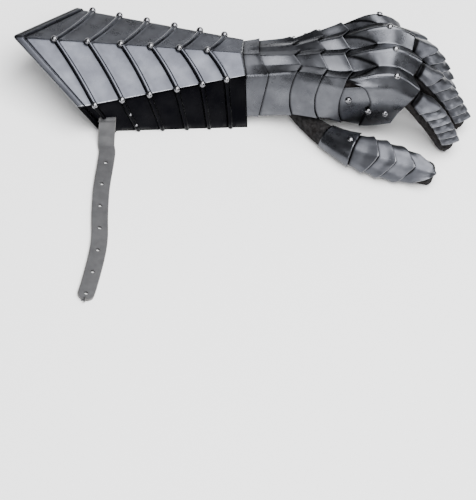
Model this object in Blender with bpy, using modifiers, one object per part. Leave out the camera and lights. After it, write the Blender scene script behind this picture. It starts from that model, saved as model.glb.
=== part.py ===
"""A left-hand steel gauntlet with a long pointed cuff, lying palm down.

The gauntlet is laid out along +X, from the point of the cuff to the fingertips.
Sideways places are given as a reach, which is positive on the thumb side (-Y).
All lengths are in metres, and +Z is up.
"""

import math

import bmesh
import bpy
from mathutils import Vector

# Sheet, leather and clearances
STEEL = 0.0012
SCALE_STEEL = 0.0009
LEATHER = 0.0018
GAP = 0.0004
TUCK = STEEL + 2 * GAP
LAP = 0.005

# Cuff
CUFF_LENGTH = 0.220
CUFF_POINT = 0.065
CUFF_END_HALF = 0.064
CUFF_END_RIDGE = 0.051
CUFF_END_CORNER = 0.029
WING_SLANT = 0.025
WING_END_HALF = 0.0655
BORDER_WIDTH = 0.0055
BORDER_RISE = 0.0012
RIB_WIDTH = 0.0055
RIB_RISE = 0.0020
STUD_RADIUS = 0.00325
STUD_SEAT = 0.05
WING_SPARE = 0.10
WING_WRIST_SLANT = 0.010
SLOT_PLAY = 0.0008
# Places of each rib: along the ridge as a share of the cuff's length, and along the corner as a
# share of the corner's own length
RIBS = ((.179, .097), (.323, .262), (.467, .429), (.598, .597), (.722, .752), (.845, .901))
# How far the cuff reaches past its length at each line, from the thumb side
CUFF_WRIST_EDGE = (0.0022, 0.0030, 0, 0.0020, 0.0020)

# Hand: the sections below are shares of these three
HAND_LENGTH = 0.220
HAND_WIDTH = 0.100
HAND_HEIGHT = 0.100

# The cuff's wrist end, which the first lame fits into
CUFF_WRIST_HALF = 0.24 * HAND_WIDTH
CUFF_WRIST_RIDGE = 0.56 * HAND_HEIGHT
CUFF_WRIST_CORNER = 0.50 * HAND_HEIGHT
WING_WRIST_HALF = 0.46 * HAND_WIDTH

# Straps and buckle
STRAP_WIDTH = 0.0159
STRAP_THICKNESS = 0.0026
STRAP_HOLES = 7
FIRST_HOLE = 0.0300
HOLE_PITCH = 0.0270
HOLE_RADIUS = 0.0019
STRAP_X = 0.095
SLOT_HEIGHT = 0.0120
STRAP_RISE = 0.015
BUCKLE_WIRE = 0.0014
BUCKLE_WIDTH = 0.024
BUCKLE_LENGTH = 0.020
BUCKLE_REACH = 0.036
BAR_HEIGHT = 0.0043
PRONG_WIRE = 0.0010
TAB_THICKNESS = 0.0016
TAB_RISE = 0.018
PALM_STRAP_THICKNESS = 0.0020
# Free run of the strap over the surface: shares of CUFF_LENGTH sideways from its start, and reach
STRAP_RUN = ((.0, .083), (.003, .092), (-.006, .108), (-.026, .139), (-.035, .169), (-.039, .199),
             (-.056, .224), (-.091, .258), (-.112, .273))

PALM_STRAP_WIDTH = 0.0135
BUCKLE_CORNER = 0.0030
# Palm strap: share of HAND_LENGTH, reach, and height, or None where it follows the palm
PALM_STRAP = ((.545, .405, .36), (.540, .402, .29), (.530, .330, None), (.515, .250, None),
              (.500, .160, None),
              (.470, -.050, None), (.445, -.250, None), (.430, -.330, None), (.425, -.372, .24),
              (.425, -.374, .31))

# Rivets
RIVET_SEAT = 0.0004
RIVET_RADIUS = 0.0032
RIVET_RISE = 0.0022
TAB_RIVET_RADIUS = 0.005

# Columns of a hand section, from the thumb side over the back to the little finger's side
COLUMNS = (
    "thumb_edge", "thumb_low", "thumb_side", "thumb_top",
    "index", "valley_1", "middle", "valley_2", "ring", "valley_3", "little",
    "little_top", "little_side", "little_low", "little_edge",
)

# Outer faces of the hand's plates. Each row is a share of HAND_LENGTH from the wrist,
# then (reach, height) of each column as shares of HAND_WIDTH and HAND_HEIGHT.
HAND_SECTIONS = (
    (-0.03, ((.410, .12), (.356, .25), (.300, .38), (.262, .46), (.245, .50), (.122, .53),
             (0, .560), (-.062, .545), (-.122, .53), (-.182, .515), (-.245, .50),
             (-.262, .46), (-.300, .38), (-.356, .25), (-.410, .12))),
    (0.0, ((.407, .12), (.350, .25), (.293, .38), (.258, .46), (.240, .50), (.120, .53),
           (0, .560), (-.060, .545), (-.120, .53), (-.180, .515), (-.240, .50),
           (-.258, .46), (-.293, .38), (-.350, .25), (-.407, .12))),
    (0.09, ((.400, .12), (.345, .26), (.295, .40), (.258, .49), (.235, .54), (.118, .555),
            (.01, .585), (-.058, .562), (-.120, .56), (-.185, .535), (-.250, .52),
            (-.275, .47), (-.315, .38), (-.365, .26), (-.405, .14))),
    (0.218, ((.410, .19), (.370, .28), (.325, .42), (.275, .54), (.235, .62), (.120, .595),
             (.02, .625), (-.055, .600), (-.130, .60), (-.200, .565), (-.270, .56),
             (-.310, .48), (-.350, .38), (-.385, .27), (-.405, .17))),
    (0.323, ((.445, .225), (.420, .30), (.385, .45), (.345, .58), (.300, .67), (.170, .645),
             (.05, .705), (-.045, .665), (-.140, .685), (-.220, .645), (-.305, .655),
             (-.360, .55), (-.400, .42), (-.415, .31), (-.420, .21))),
    (0.427, ((.475, .230), (.455, .32), (.440, .48), (.405, .62), (.355, .72), (.220, .670),
             (.08, .765), (-.040, .695), (-.145, .765), (-.250, .705), (-.340, .745),
             (-.405, .64), (-.450, .48), (-.455, .35), (-.445, .25))),
    (0.509, ((.485, .215), (.470, .33), (.455, .49), (.415, .66), (.355, .765), (.220, .710),
             (.085, .830), (-.040, .745), (-.155, .860), (-.270, .790), (-.370, .830),
             (-.435, .70), (-.470, .52), (-.470, .38), (-.455, .27))),
    (0.568, ((.480, .21), (.468, .34), (.455, .50), (.420, .68), (.350, .795), (.220, .775),
             (.09, .875), (-.040, .805), (-.160, .915), (-.270, .845), (-.380, .870),
             (-.445, .72), (-.480, .54), (-.475, .40), (-.455, .29))),
    (0.636, ((.465, .235), (.458, .355), (.450, .50), (.420, .67), (.345, .805), (.220, .800),
             (.09, .910), (-.035, .835), (-.160, .945), (-.270, .855), (-.380, .845),
             (-.450, .69), (-.480, .54), (-.475, .42), (-.450, .32))),
    (0.700, ((.455, .27), (.452, .375), (.462, .49), (.440, .63), (.355, .765), (.225, .745),
             (.10, .880), (-.030, .800), (-.155, .905), (-.260, .785), (-.370, .760),
             (-.435, .62), (-.460, .52), (-.455, .43), (-.440, .35))),
    (0.782, ((.450, .31), (.450, .38), (.468, .46), (.455, .56), (.390, .660), (.250, .640),
             (.12, .795), (-.015, .700), (-.140, .810), (-.250, .670), (-.360, .650),
             (-.420, .53), (-.445, .45), (-.440, .38), (-.430, .32))),
)

# Distal edges of the plates, one share of HAND_LENGTH for each column
CUFF_EDGE = (.010, .011, .012, .013, .014, .007, 0, .003, .005, .007, .009, .009, .009, .009, .009)
WRIST_EDGE = (.095, .100, .105, .108, .108, .090, .072, .072, .074, .078, .082, .082, .082, .082, .082)
HAND_EDGE_1 = (.235, .218, .210, .216, .226, .252, .218, .250, .213, .248, .213, .214, .216, .218, .220)
HAND_EDGE_2 = (.345, .326, .316, .324, .334, .362, .325, .356, .320, .354, .322, .322, .322, .323, .325)
HAND_EDGE_3 = (.450, .430, .420, .428, .438, .470, .429, .462, .424, .460, .426, .426, .427, .428, .430)
KNUCKLE_START = (.530, .545, .560, .520, None, None, None, None, None, None, None,
                 .500, .540, .530, .520)
KNUCKLE_EDGE = (.668, .685, .705, .735, .765, .735, .773, .732, .742, .692, .682, .672, .655, .642, .630)

KNUCKLE_STEPS = (-1, 0, .12, .26, .40, .54, .68, .84, 1)
KNUCKLE_RAMP = 0.10
# Rivets on the hand's plates: name, share of HAND_LENGTH, column with its fraction, and
# how far their plate lies below the outermost ones
PLATE_RIVETS = (
    ("knuckle_rivet_1", .652, 4, 0), ("knuckle_rivet_2", .644, 6, 0), ("knuckle_rivet_3", .621, 8, 0),
    ("knuckle_rivet_4", .588, 10, 0), ("panel_rivet_1", .556, 1.4, 0),
    ("panel_rivet_2", .632, 1.2, 0), ("side_lame_rivet", .462, 2.05, TUCK),
)
SIDE_THUMB_EDGE = (.565, .580, .595, .555)
SIDE_LITTLE_EDGE = (.535, .575, .565, .555)

# Fingers and thumb. Each row is a share of HAND_LENGTH from the wrist, a reach, a height, and
# the glove's half width and half depth there, as shares of HAND_WIDTH or HAND_HEIGHT.
# After the rows come the number of scales, and where along the digit they start.
FINGERS = (
    ("index", 6, .34, (
        (.630, .312, .600, .082, .098), (.715, .340, .532, .090, .100),
        (.805, .402, .400, .110, .114), (.872, .447, .245, .112, .108),
        (.925, .490, .080, .098, .090))),
    ("middle", 6, .30, (
        (.630, .092, .740, .086, .102), (.730, .112, .655, .092, .104),
        (.830, .134, .490, .111, .118), (.920, .160, .270, .112, .110),
        (.985, .190, .080, .098, .090))),
    ("ring", 6, .30, (
        (.610, -.160, .762, .082, .098), (.712, -.152, .700, .090, .100),
        (.805, -.137, .570, .104, .114), (.878, -.112, .340, .106, .106),
        (.932, -.087, .080, .096, .088))),
    ("little", 5, .32, (
        (.580, -.352, .672, .066, .084), (.678, -.362, .606, .074, .086),
        (.768, -.375, .475, .088, .098), (.842, -.368, .290, .092, .096),
        (.890, -.350, .074, .084, .084))),
)
THUMB = ("thumb", 4, .62, (
    (.240, .190, .130, .085, .068), (.300, .355, .100, .090, .068),
    (.385, .540, .100, .108, .074), (.500, .720, .132, .136, .084),
    (.640, .835, .138, .150, .085), (.838, .910, .090, .112, .080)))
THUMB_BASE_START = 0.44
THUMB_ANGLES = (-85, -57, -28, 0, 28, 57, 85)
THUMB_POINT = 0.0100
THUMB_RIVET = (.585, 20)
THUMB_BACK = Vector((0, -.55, .83))
DIGIT_SIDES = 10
DIGIT_ROWS = 6
SCALE_RIDGE = 0.0012
RIDGE_ANGLE = 28
SCALE_POINT = 0.0090
SCALE_LAP = 0.0035
SCALE_LOW = 0.0018
SCALE_HIGH = SCALE_LOW + SCALE_STEEL + GAP
SCALE_ANGLES = (-70, -35, 0, 35, 70)

# Shrink and forward step of the rings that round a fingertip, as shares of its half width
TIP_ROUND = ((.86, .35), (.50, .62))

# Glove: clearance under the plates, gap at its seams, and sections of its cuff. Those are
# a share of CUFF_LENGTH, then the half width as a share of the wings' reach there, and the
# middle and half height as shares of the ridge's height there.
GLOVE_CLEAR = 0.0052
SEAM = 0.0003
RING_POINTS = 24
CUFF_SQUARENESS = 0.85
GLOVE_CUFF = ((.510, .823, .355, .308), (.600, .794, .370, .319), (.720, .749, .394, .333),
              (.850, .653, .434, .358), (.9985, .547, .468, .366))

# Palm side of the glove's hand: shares of HAND_LENGTH and HAND_HEIGHT, and of HAND_WIDTH
PALM = (
    (0.0, .055, .262, .27), (0.09, .055, .258, .27), (0.218, .085, .268, .33),
    (0.323, .110, .325, .38), (0.427, .140, .378, .42), (0.509, .200, .390, .46),
    (0.568, .300, .390, .53), (0.636, .420, .380, .60), (0.675, .480, .360, .63),
)

MATERIALS = {
    "blackened_steel": ((.065, .068, .075), .32, 1.0),
    "bright_steel": ((.30, .31, .33), .25, 1.0),
    "black_suede": ((.018, .016, .015), .95, 0.0),
    "grey_leather": ((.085, .085, .088), .55, 0.0),
    "nickel": ((.55, .54, .52), .22, 1.0),
}


def at(x, reach, height):
    """Place a point by its distance along the gauntlet, its reach and its height."""
    return Vector((x, -reach, height))


def hand_x(share):
    """Distance from the cuff's point of a share of the hand's length."""
    return CUFF_LENGTH + share * HAND_LENGTH


def hand_point(share, reach, height):
    """Place a point by its three shares of the hand's sizes."""
    return at(hand_x(share), reach * HAND_WIDTH, height * HAND_HEIGHT)


def material(name):
    """Make or find the material of a name."""
    found = bpy.data.materials.get(name)
    if found:
        return found
    colour, roughness, metallic = MATERIALS[name]
    made = bpy.data.materials.new(name)
    made.use_nodes = True
    shader = made.node_tree.nodes["Principled BSDF"]
    shader.inputs["Base Color"].default_value = (*colour, 1)
    shader.inputs["Roughness"].default_value = roughness
    shader.inputs["Metallic"].default_value = metallic
    made.diffuse_color = (*colour, 1)
    return made


def start_scene():
    """Empty the file and make the collections."""
    for old in list(bpy.data.objects):
        bpy.data.objects.remove(old)
    made = []
    for name in ("armoured_gauntlet", "cutters"):
        collection = bpy.data.collections.new(name)
        bpy.context.scene.collection.children.link(collection)
        made.append(collection)
    return made


def mesh_object(name, points, faces, stuff, collection):
    """Make an object from points and faces, with its faces turned outwards."""
    mesh = bpy.data.meshes.new(name)
    mesh.from_pydata([tuple(p) for p in points], [], faces)
    mesh.materials.append(material(stuff))
    made = bpy.data.objects.new(name, mesh)
    collection.objects.link(made)
    return made


def shade(obj, angle=35):
    """Shade smooth, apart from edges sharper than an angle."""
    obj.data.shade_smooth()
    obj.data.set_sharp_from_angle(angle=math.radians(angle))


def grid_faces(rows, columns, closed=False):
    """Faces of a grid of points stored row after row."""
    faces = []
    last = columns if closed else columns - 1
    for row in range(rows - 1):
        for column in range(last):
            after = (column + 1) % columns
            here = row * columns
            ahead = here + columns
            faces.append((here + column, ahead + column, ahead + after, here + after))
    return faces


def sheet(name, grid, thickness, stuff):
    """A sheet with its outer face on a grid of points, thickened inwards."""
    rows, columns = len(grid), len(grid[0])
    points = [point for row in grid for point in row]
    made = mesh_object(name, points, grid_faces(rows, columns), stuff, PARTS)
    thicken(made, thickness)
    return made


def thicken(obj, thickness):
    """Solidify an open surface inwards, which is away from its faces' normals."""
    solidify = obj.modifiers.new("thickness", "SOLIDIFY")
    solidify.thickness = thickness
    solidify.offset = -1
    solidify.use_even_offset = True


def loft(name, rings, stuff, collection, cap_start=True, cap_end=True):
    """A tube through rings of points, with its ends capped or open."""
    sides = len(rings[0])
    points = [point for ring in rings for point in ring]
    faces = grid_faces(len(rings), sides, closed=True)
    if cap_start:
        faces.append(tuple(range(sides)))
    if cap_end:
        last = (len(rings) - 1) * sides
        faces.append(tuple(reversed(range(last, last + sides))))
    return mesh_object(name, points, faces, stuff, collection)


def cut(obj, cutter, operation="DIFFERENCE"):
    """Cut or join an object with another, as a Boolean modifier."""
    boolean = obj.modifiers.new(cutter.name, "BOOLEAN")
    boolean.operation = operation
    boolean.solver = "EXACT"
    boolean.object = cutter
    cutter.hide_render = True
    cutter.display_type = "WIRE"


def interpolate(rows, x):
    """Read rows of (x, values) at x, by a smooth curve through the rows."""
    places = [row[0] for row in rows]
    x = min(max(x, places[0]), places[-1])
    first = max(i for i in range(len(places) - 1) if places[i] <= x)
    span = places[first + 1] - places[first]
    t = (x - places[first]) / span

    def slope(i, k):
        before, after = max(i - 1, 0), min(i + 1, len(rows) - 1)
        return (rows[after][1][k] - rows[before][1][k]) / (places[after] - places[before])

    values = []
    for k in range(len(rows[0][1])):
        start, end = rows[first][1][k], rows[first + 1][1][k]
        values.append(
            (2 * t**3 - 3 * t**2 + 1) * start
            + (t**3 - 2 * t**2 + t) * span * slope(first, k)
            + (3 * t**2 - 2 * t**3) * end
            + (t**3 - t**2) * span * slope(first + 1, k)
        )
    return values


FLAT_SECTIONS = [(share, [value for pair in pairs for value in pair]) for share, pairs in HAND_SECTIONS]


def section(share):
    """Points of a hand section, as (reach, height) in metres."""
    values = interpolate(FLAT_SECTIONS, share)
    return [
        Vector((values[2 * i] * HAND_WIDTH, values[2 * i + 1] * HAND_HEIGHT))
        for i in range(len(COLUMNS))
    ]


def offset_point(points, i, lift):
    """Move point i of a flat polyline outwards, which is to the left of its direction."""
    here = points[i]
    normals = []
    for a, b in ((i - 1, i), (i, i + 1)):
        if 0 <= a and b < len(points) and (points[b] - points[a]).length > 1e-9:
            along = points[b] - points[a]
            normals.append(Vector((along.y, -along.x)).normalized())
    total = sum(normals, Vector((0, 0))).normalized()
    return here + total * (lift / max(total.dot(normals[0]), 0.5))


def section_point(share, column, lift):
    """Point of a hand section at a column, moved outwards by a lift."""
    moved = offset_point(section(share), column, lift)
    return at(hand_x(share), moved.x, moved.y)


def cuff_line(column, x):
    """Reach and height of a cuff line at x: 0 free edge, 1 corner and 2 ridge, thumb side first."""
    side = 1 if column < 2 else -1
    kind = min(column, 4 - column)
    if kind == 2:
        share = x / CUFF_LENGTH
        return Vector((0, CUFF_END_RIDGE + share * (CUFF_WRIST_RIDGE - CUFF_END_RIDGE)))
    if kind == 1:
        share = (x - CUFF_POINT) / (CUFF_LENGTH - CUFF_POINT)
        half = CUFF_END_HALF + share * (CUFF_WRIST_HALF - CUFF_END_HALF)
        return Vector((side * half, CUFF_END_CORNER + share * (CUFF_WRIST_CORNER - CUFF_END_CORNER)))
    start = CUFF_POINT + WING_SLANT
    share = (x - start) / (CUFF_LENGTH - start)
    half = WING_END_HALF + share * (WING_WRIST_HALF - WING_END_HALF)
    edge, corner = Vector((side * half, 0)), cuff_line(1 if side > 0 else 3, x)
    return edge + (edge - corner) * WING_SPARE


def corner_x(share):
    """Distance from the cuff's point of a share of the corner's length."""
    return CUFF_POINT + share * (CUFF_LENGTH - CUFF_POINT)


def cuff_point(column, x, lift):
    """Point of the cuff's outer face on one of its five lines, moved outwards by a lift."""
    points = [cuff_line(i, x) for i in range(5)]
    moved = offset_point(points, column, lift)
    return at(x, moved.x, moved.y)


def cuff_rows():
    """Rows across the cuff: places of the five lines, and the lift of the row."""
    def slanted(ridge, corner):
        share = (corner - CUFF_POINT) / (CUFF_LENGTH - CUFF_POINT)
        edge = corner + (WING_SLANT + share * (WING_WRIST_SLANT - WING_SLANT)) * (1 + WING_SPARE)
        return (edge, corner, ridge, corner, edge)

    rows = [
        (slanted(0, CUFF_POINT), BORDER_RISE),
        (slanted(BORDER_WIDTH * 1.7, CUFF_POINT + BORDER_WIDTH), BORDER_RISE),
        (slanted(BORDER_WIDTH * 1.7 + BORDER_RISE, CUFF_POINT + BORDER_WIDTH + BORDER_RISE), 0),
    ]
    for ridge, corner in RIBS:
        for step, lift in ((-0.5, 0), (0, RIB_RISE), (0.5, 0)):
            shift = step * RIB_WIDTH
            rows.append((slanted(ridge * CUFF_LENGTH + shift, corner_x(corner) + shift), lift))
    rows.append((tuple(CUFF_LENGTH + extra for extra in CUFF_WRIST_EDGE), 0))
    return rows


def ball(radius, centre, stuff, collection, name, segments=8):
    """A ball of a stud or a rivet's head."""
    bm = bmesh.new()
    bmesh.ops.create_uvsphere(bm, u_segments=segments, v_segments=5, radius=radius)
    mesh = bpy.data.meshes.new(name)
    bm.to_mesh(mesh)
    bm.free()
    mesh.materials.append(material(stuff))
    made = bpy.data.objects.new(name, mesh)
    made.location = centre
    collection.objects.link(made)
    return made


def box(name, low, high):
    """A box between two corners, used as a cutter."""
    bm = bmesh.new()
    bmesh.ops.create_cube(bm, size=1)
    for vert in bm.verts:
        for k in range(3):
            vert.co[k] = low[k] if vert.co[k] < 0 else high[k]
    mesh = bpy.data.meshes.new(name)
    bm.to_mesh(mesh)
    bm.free()
    made = bpy.data.objects.new(name, mesh)
    CUTTERS.objects.link(made)
    return made


def join_meshes(name, objects, collection, stuff):
    """One object of several that don't touch, with the places of each applied."""
    bm = bmesh.new()
    for obj in objects:
        copy = obj.data.copy()
        copy.transform(obj.matrix_basis)
        bm.from_mesh(copy)
        bpy.data.meshes.remove(copy)
        bpy.data.objects.remove(obj)
    mesh = bpy.data.meshes.new(name)
    bm.to_mesh(mesh)
    bm.free()
    mesh.materials.append(material(stuff))
    made = bpy.data.objects.new(name, mesh)
    collection.objects.link(made)
    return made


def make_cuff():
    """The cuff plate, with its border, ribs and studs, and a slot for the strap."""
    grid = [[cuff_point(i, places[i], lift) for i in range(5)] for places, lift in cuff_rows()]
    cuff = sheet("cuff_plate", grid, STEEL, "blackened_steel")
    studs = []
    for ridge, corner in RIBS:
        for column, x in ((1, corner_x(corner)), (2, ridge * CUFF_LENGTH), (3, corner_x(corner))):
            centre = cuff_point(column, x, RIB_RISE + STUD_RADIUS * STUD_SEAT)
            studs.append(ball(STUD_RADIUS, centre, "bright_steel", CUTTERS, "stud"))
    cut(cuff, join_meshes("cuff_studs", studs, CUTTERS, "bright_steel"), "UNION")
    cut(cuff, box("cuff_floor", (-.1, -.2, -.1), (.4, .2, 0)))
    slot = box(
        "strap_slot",
        (STRAP_X - STRAP_WIDTH / 2 - SLOT_PLAY, -.1, SLOT_HEIGHT - STRAP_THICKNESS / 2 - SLOT_PLAY * 1.5),
        (STRAP_X + STRAP_WIDTH / 2 + SLOT_PLAY, -.05, SLOT_HEIGHT + STRAP_THICKNESS * 1.7),
    )
    cut(cuff, slot)
    return cuff


def lame(name, before, edge, columns=None, tuck=TUCK, low=0.0):
    """A lame from under the edge before it to its own edge, which stands a tuck further out."""
    columns = columns or range(len(COLUMNS))
    lap = LAP / HAND_LENGTH
    grid = []
    for kind in range(5):
        row = []
        for i, start, end in zip(columns, before, edge):
            place = (start - lap, start, (start + end) / 2, end - lap, end)[kind]
            lift = -low - tuck * (1 - (place - start) / (end - start))
            row.append(section_point(place, i, lift))
        grid.append(row)
    made = sheet(name, grid, STEEL, "blackened_steel")
    shade(made)
    return made


def make_knuckle_plate():
    """The knuckle plate, whose side panels lie over the side lames."""
    lap = LAP / HAND_LENGTH
    grid = []
    for step in KNUCKLE_STEPS:
        row = []
        for i, end in enumerate(KNUCKLE_EDGE):
            own = KNUCKLE_START[i]
            before = HAND_EDGE_3[i] if own is None else own + lap
            place = before - lap if step < 0 else before + step * (end - before)
            rise = 1 if own is not None else min(1, (place - before) / KNUCKLE_RAMP)
            row.append(section_point(place, i, -TUCK * (1 - rise)))
        grid.append(row)
    made = sheet("knuckle_plate", grid, STEEL, "blackened_steel")
    shade(made)
    return made


def digit_place(rows, s):
    """Centre, half width and half depth of a digit at a share of its rows."""
    table = [(i / (len(rows) - 1), row) for i, row in enumerate(rows)]
    x, reach, height, width, depth = interpolate(table, s)
    return hand_point(x, reach, height), width * HAND_WIDTH, depth * HAND_WIDTH


def digit_frame(rows, s, back):
    """Directions of a digit at a share of its rows: along it, to its back, and to the little side."""
    step = 0.02
    ahead, behind = digit_place(rows, min(s + step, 1))[0], digit_place(rows, max(s - step, 0))[0]
    along = (ahead - behind).normalized()
    dorsal = (back - along * back.dot(along)).normalized()
    return along, dorsal, dorsal.cross(along)


def digit_point(rows, s, angle, lift, back):
    """Point on a digit's skin at an angle from its back, moved outwards by a lift."""
    centre, width, depth = digit_place(rows, s)
    _, dorsal, aside = digit_frame(rows, s, back)
    turn = math.radians(angle)
    return centre + dorsal * math.cos(turn) * (depth + lift) + aside * math.sin(turn) * (width + lift)


def digit_length(rows):
    """Length of a digit's middle line."""
    places = [digit_place(rows, i / 40)[0] for i in range(41)]
    return sum((b - a).length for a, b in zip(places, places[1:]))


def digit_ring(rows, s, lift, back, sides=None):
    """A closed ring of a digit's skin, from the thumb side over its back."""
    sides = sides or DIGIT_SIDES
    return [digit_point(rows, s, -180 + 360 * i / sides, lift, back) for i in range(sides)]


def digit_rings(rows, lift, back):
    """Rings of a digit, which round off at its tip."""
    rings = [digit_ring(rows, i / (DIGIT_ROWS - 1), lift, back) for i in range(DIGIT_ROWS)]
    along = digit_frame(rows, 1, back)[0]
    centre, width, depth = digit_place(rows, 1)
    for shrink, ahead in TIP_ROUND:
        ring = [centre + (p - centre) * shrink + along * ahead * (width + lift) for p in rings[DIGIT_ROWS - 1]]
        rings.append(ring)
    return rings


def make_digit(name, rows, back, block):
    """A hollow glove finger, trimmed where it meets the hand."""
    made = loft("glove_" + name, digit_rings(rows, 0, back), "black_suede", PARTS, cap_start=False)
    thicken(made, LEATHER)
    cut(made, block)
    shade(made, 50)
    return made


def scale(name, rows, before, after, pitch_length, back, angles=SCALE_ANGLES, point=SCALE_POINT,
          square=False):
    """A pointed, ridged scale on a digit's back, between the edges of two shares."""
    lap, tip = SCALE_LAP / pitch_length, point / pitch_length
    reach = max(abs(a) for a in angles)
    grid = []
    for kind in range(4):
        row = []
        for angle in angles:
            forward = tip * (1 - abs(angle) / reach)
            start, end = before + (0 if square else forward), after + forward
            place = (start - lap, start, end - lap, end)[kind]
            rise = (place - start) / (end - start)
            lift = SCALE_LOW + (SCALE_HIGH - SCALE_LOW) * rise
            lift += SCALE_RIDGE * max(0, 1 - abs(angle) / RIDGE_ANGLE)
            row.append(digit_point(rows, place, angle, lift, back))
        grid.append(row)
    made = sheet(name, grid, SCALE_STEEL, "blackened_steel")
    shade(made)
    return made


def make_scales(name, count, start, rows, back, **kind):
    """The scales of a digit, from the knuckle to the tip."""
    length = digit_length(rows)
    pitch = (1 - start - SCALE_POINT / length) / count
    for i in range(count):
        before = start + i * pitch
        first = i == 0
        scale(f"{name}_scale_{i + 1}", rows, before, before + pitch, length, back, square=first, **kind)


def round_curve(points, each):
    """A closed smooth curve through points, with some steps for each."""
    count = len(points)
    made = []
    for i in range(count):
        a, b, c, d = (points[(i + k) % count] for k in (-1, 0, 1, 2))
        for step in range(each):
            t = step / each
            made.append(
                0.5 * (2 * b + (c - a) * t + (2 * a - 5 * b + 4 * c - d) * t**2
                       + (3 * b - a - 3 * c + d) * t**3)
            )
    return made


def hand_ring(share, grow=0.0):
    """A ring of the glove's hand at a share of its length, grown by a little."""
    palm, half, middle = interpolate([(row[0], row[1:]) for row in PALM], share)
    half = half * HAND_WIDTH + grow
    palm = palm * HAND_HEIGHT - grow
    middle *= HAND_HEIGHT
    tops = section(share)
    backs = [offset_point(tops, i, grow - GLOVE_CLEAR) for i in (4, 5, 7, 9, 10)]
    outline = [Vector((half, middle)), *backs, Vector((-half, middle))]
    for across, up in ((-.8, .004), (-.4, 0), (0, .0015), (.4, 0), (.8, .004)):
        outline.append(Vector((across * half, palm + up)))
    return [at(hand_x(share), p.x, p.y) for p in round_curve(outline, 2)]


def make_glove():
    """The glove: its leather cuff, the hand, and five fingers that meet the hand."""
    shares = [row[0] for row in PALM]
    rings = []
    for share, half, middle, tall in GLOVE_CUFF:
        x = share * CUFF_LENGTH
        reach, ridge = cuff_line(0, x).x, cuff_line(2, x).y
        ring = []
        for i in range(RING_POINTS):
            turn = math.radians(180 - 360 * i / RING_POINTS)
            across = math.copysign(abs(math.cos(turn)) ** CUFF_SQUARENESS, -math.cos(turn))
            up = math.copysign(abs(math.sin(turn)) ** CUFF_SQUARENESS, math.sin(turn))
            ring.append(at(x, across * half * reach, (middle + up * tall) * ridge))
        rings.append(ring)
    sleeve = loft("glove_cuff", rings, "black_suede", PARTS, cap_start=False, cap_end=False)
    thicken(sleeve, LEATHER)
    shade(sleeve, 50)
    hand = loft("glove_hand", [hand_ring(s) for s in shares], "black_suede", PARTS, cap_start=False)
    thicken(hand, LEATHER)
    block = loft("hand_block", [hand_ring(s, SEAM) for s in shares], "black_suede", CUTTERS)
    for vert in block.data.vertices:
        if vert.index >= (len(shares) - 1) * RING_POINTS:
            vert.co.x += SEAM
    for name, _, _, rows in (*FINGERS, THUMB):
        back = THUMB_BACK if name == "thumb" else Vector((0, 0, 1))
        make_digit(name, rows, back, block)
        lumen = loft("lumen_" + name, digit_rings(rows, -LEATHER, back), "black_suede", CUTTERS)
        cut(hand, lumen)
    shade(hand, 50)


def dome(name, centre, normal, radius, rise, stuff, collection, segments=8):
    """A rivet's domed head, with its flat side down on a point of a surface."""
    bm = bmesh.new()
    bmesh.ops.create_uvsphere(bm, u_segments=segments, v_segments=4, radius=radius)
    cut_plane = bm.verts[:] + bm.edges[:] + bm.faces[:]
    bmesh.ops.bisect_plane(bm, geom=cut_plane, plane_co=(0, 0, 0), plane_no=(0, 0, -1), clear_outer=True)
    rim = [edge for edge in bm.edges if edge.is_boundary]
    if rim:
        bmesh.ops.contextual_create(bm, geom=rim)
    for vert in bm.verts:
        vert.co.z *= rise / radius
    bmesh.ops.recalc_face_normals(bm, faces=bm.faces[:])
    mesh = bpy.data.meshes.new(name)
    bm.to_mesh(mesh)
    bm.free()
    mesh.materials.append(material(stuff))
    made = bpy.data.objects.new(name, mesh)
    made.rotation_mode = "QUATERNION"
    made.rotation_quaternion = Vector((0, 0, 1)).rotation_difference(normal)
    made.location = centre + normal * RIVET_SEAT
    collection.objects.link(made)
    shade(made)
    return made


def skin(share, column, lift=0.0):
    """Point and normal of the hand's outer face at a share and a fraction of a column."""
    def place(s, c):
        low = min(int(c), len(COLUMNS) - 2)
        return section_point(s, low, lift).lerp(section_point(s, low + 1, lift), c - low)

    here = place(share, column)
    ahead = place(share + 0.01, column) - place(share - 0.01, column)
    across = place(share, column + 0.2) - place(share, column - 0.2)
    return here, ahead.cross(across).normalized()


def ribbon(name, path, asides, widths, thickness, stuff):
    """A flat strap: middles of its upper face, the direction across, and its width at each."""
    grid = [[p - a * w / 2, p + a * w / 2] for p, a, w in zip(path, asides, widths)]
    made = sheet(name, grid, thickness, stuff)
    shade(made)
    return made


def smooth_path(points, each):
    """An open smooth curve through points, with some steps between each two."""
    made = []
    for i in range(len(points) - 1):
        a, b, c, d = (points[min(max(i + k, 0), len(points) - 1)] for k in (-1, 0, 1, 2))
        for step in range(each):
            t = step / each
            made.append(
                0.5 * (2 * b + (c - a) * t + (2 * a - 5 * b + 4 * c - d) * t**2
                       + (3 * b - a - 3 * c + d) * t**3)
            )
    made.append(points[-1])
    return made


def wing_reach(height, side_in, x=STRAP_X):
    """Reach of the wing's outer face at the strap, moved inwards by some."""
    edge, corner = cuff_line(0, x), cuff_line(1, x)
    share = (height - edge.y) / (corner.y - edge.y)
    return edge.x + share * (corner.x - edge.x) - side_in


def wing_aside():
    """Direction along the thumb side wing, level, at the strap."""
    half = STRAP_WIDTH / 2
    narrowing = wing_reach(SLOT_HEIGHT, 0, STRAP_X + half) - wing_reach(SLOT_HEIGHT, 0, STRAP_X - half)
    return at(STRAP_WIDTH, narrowing, 0).normalized()


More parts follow.
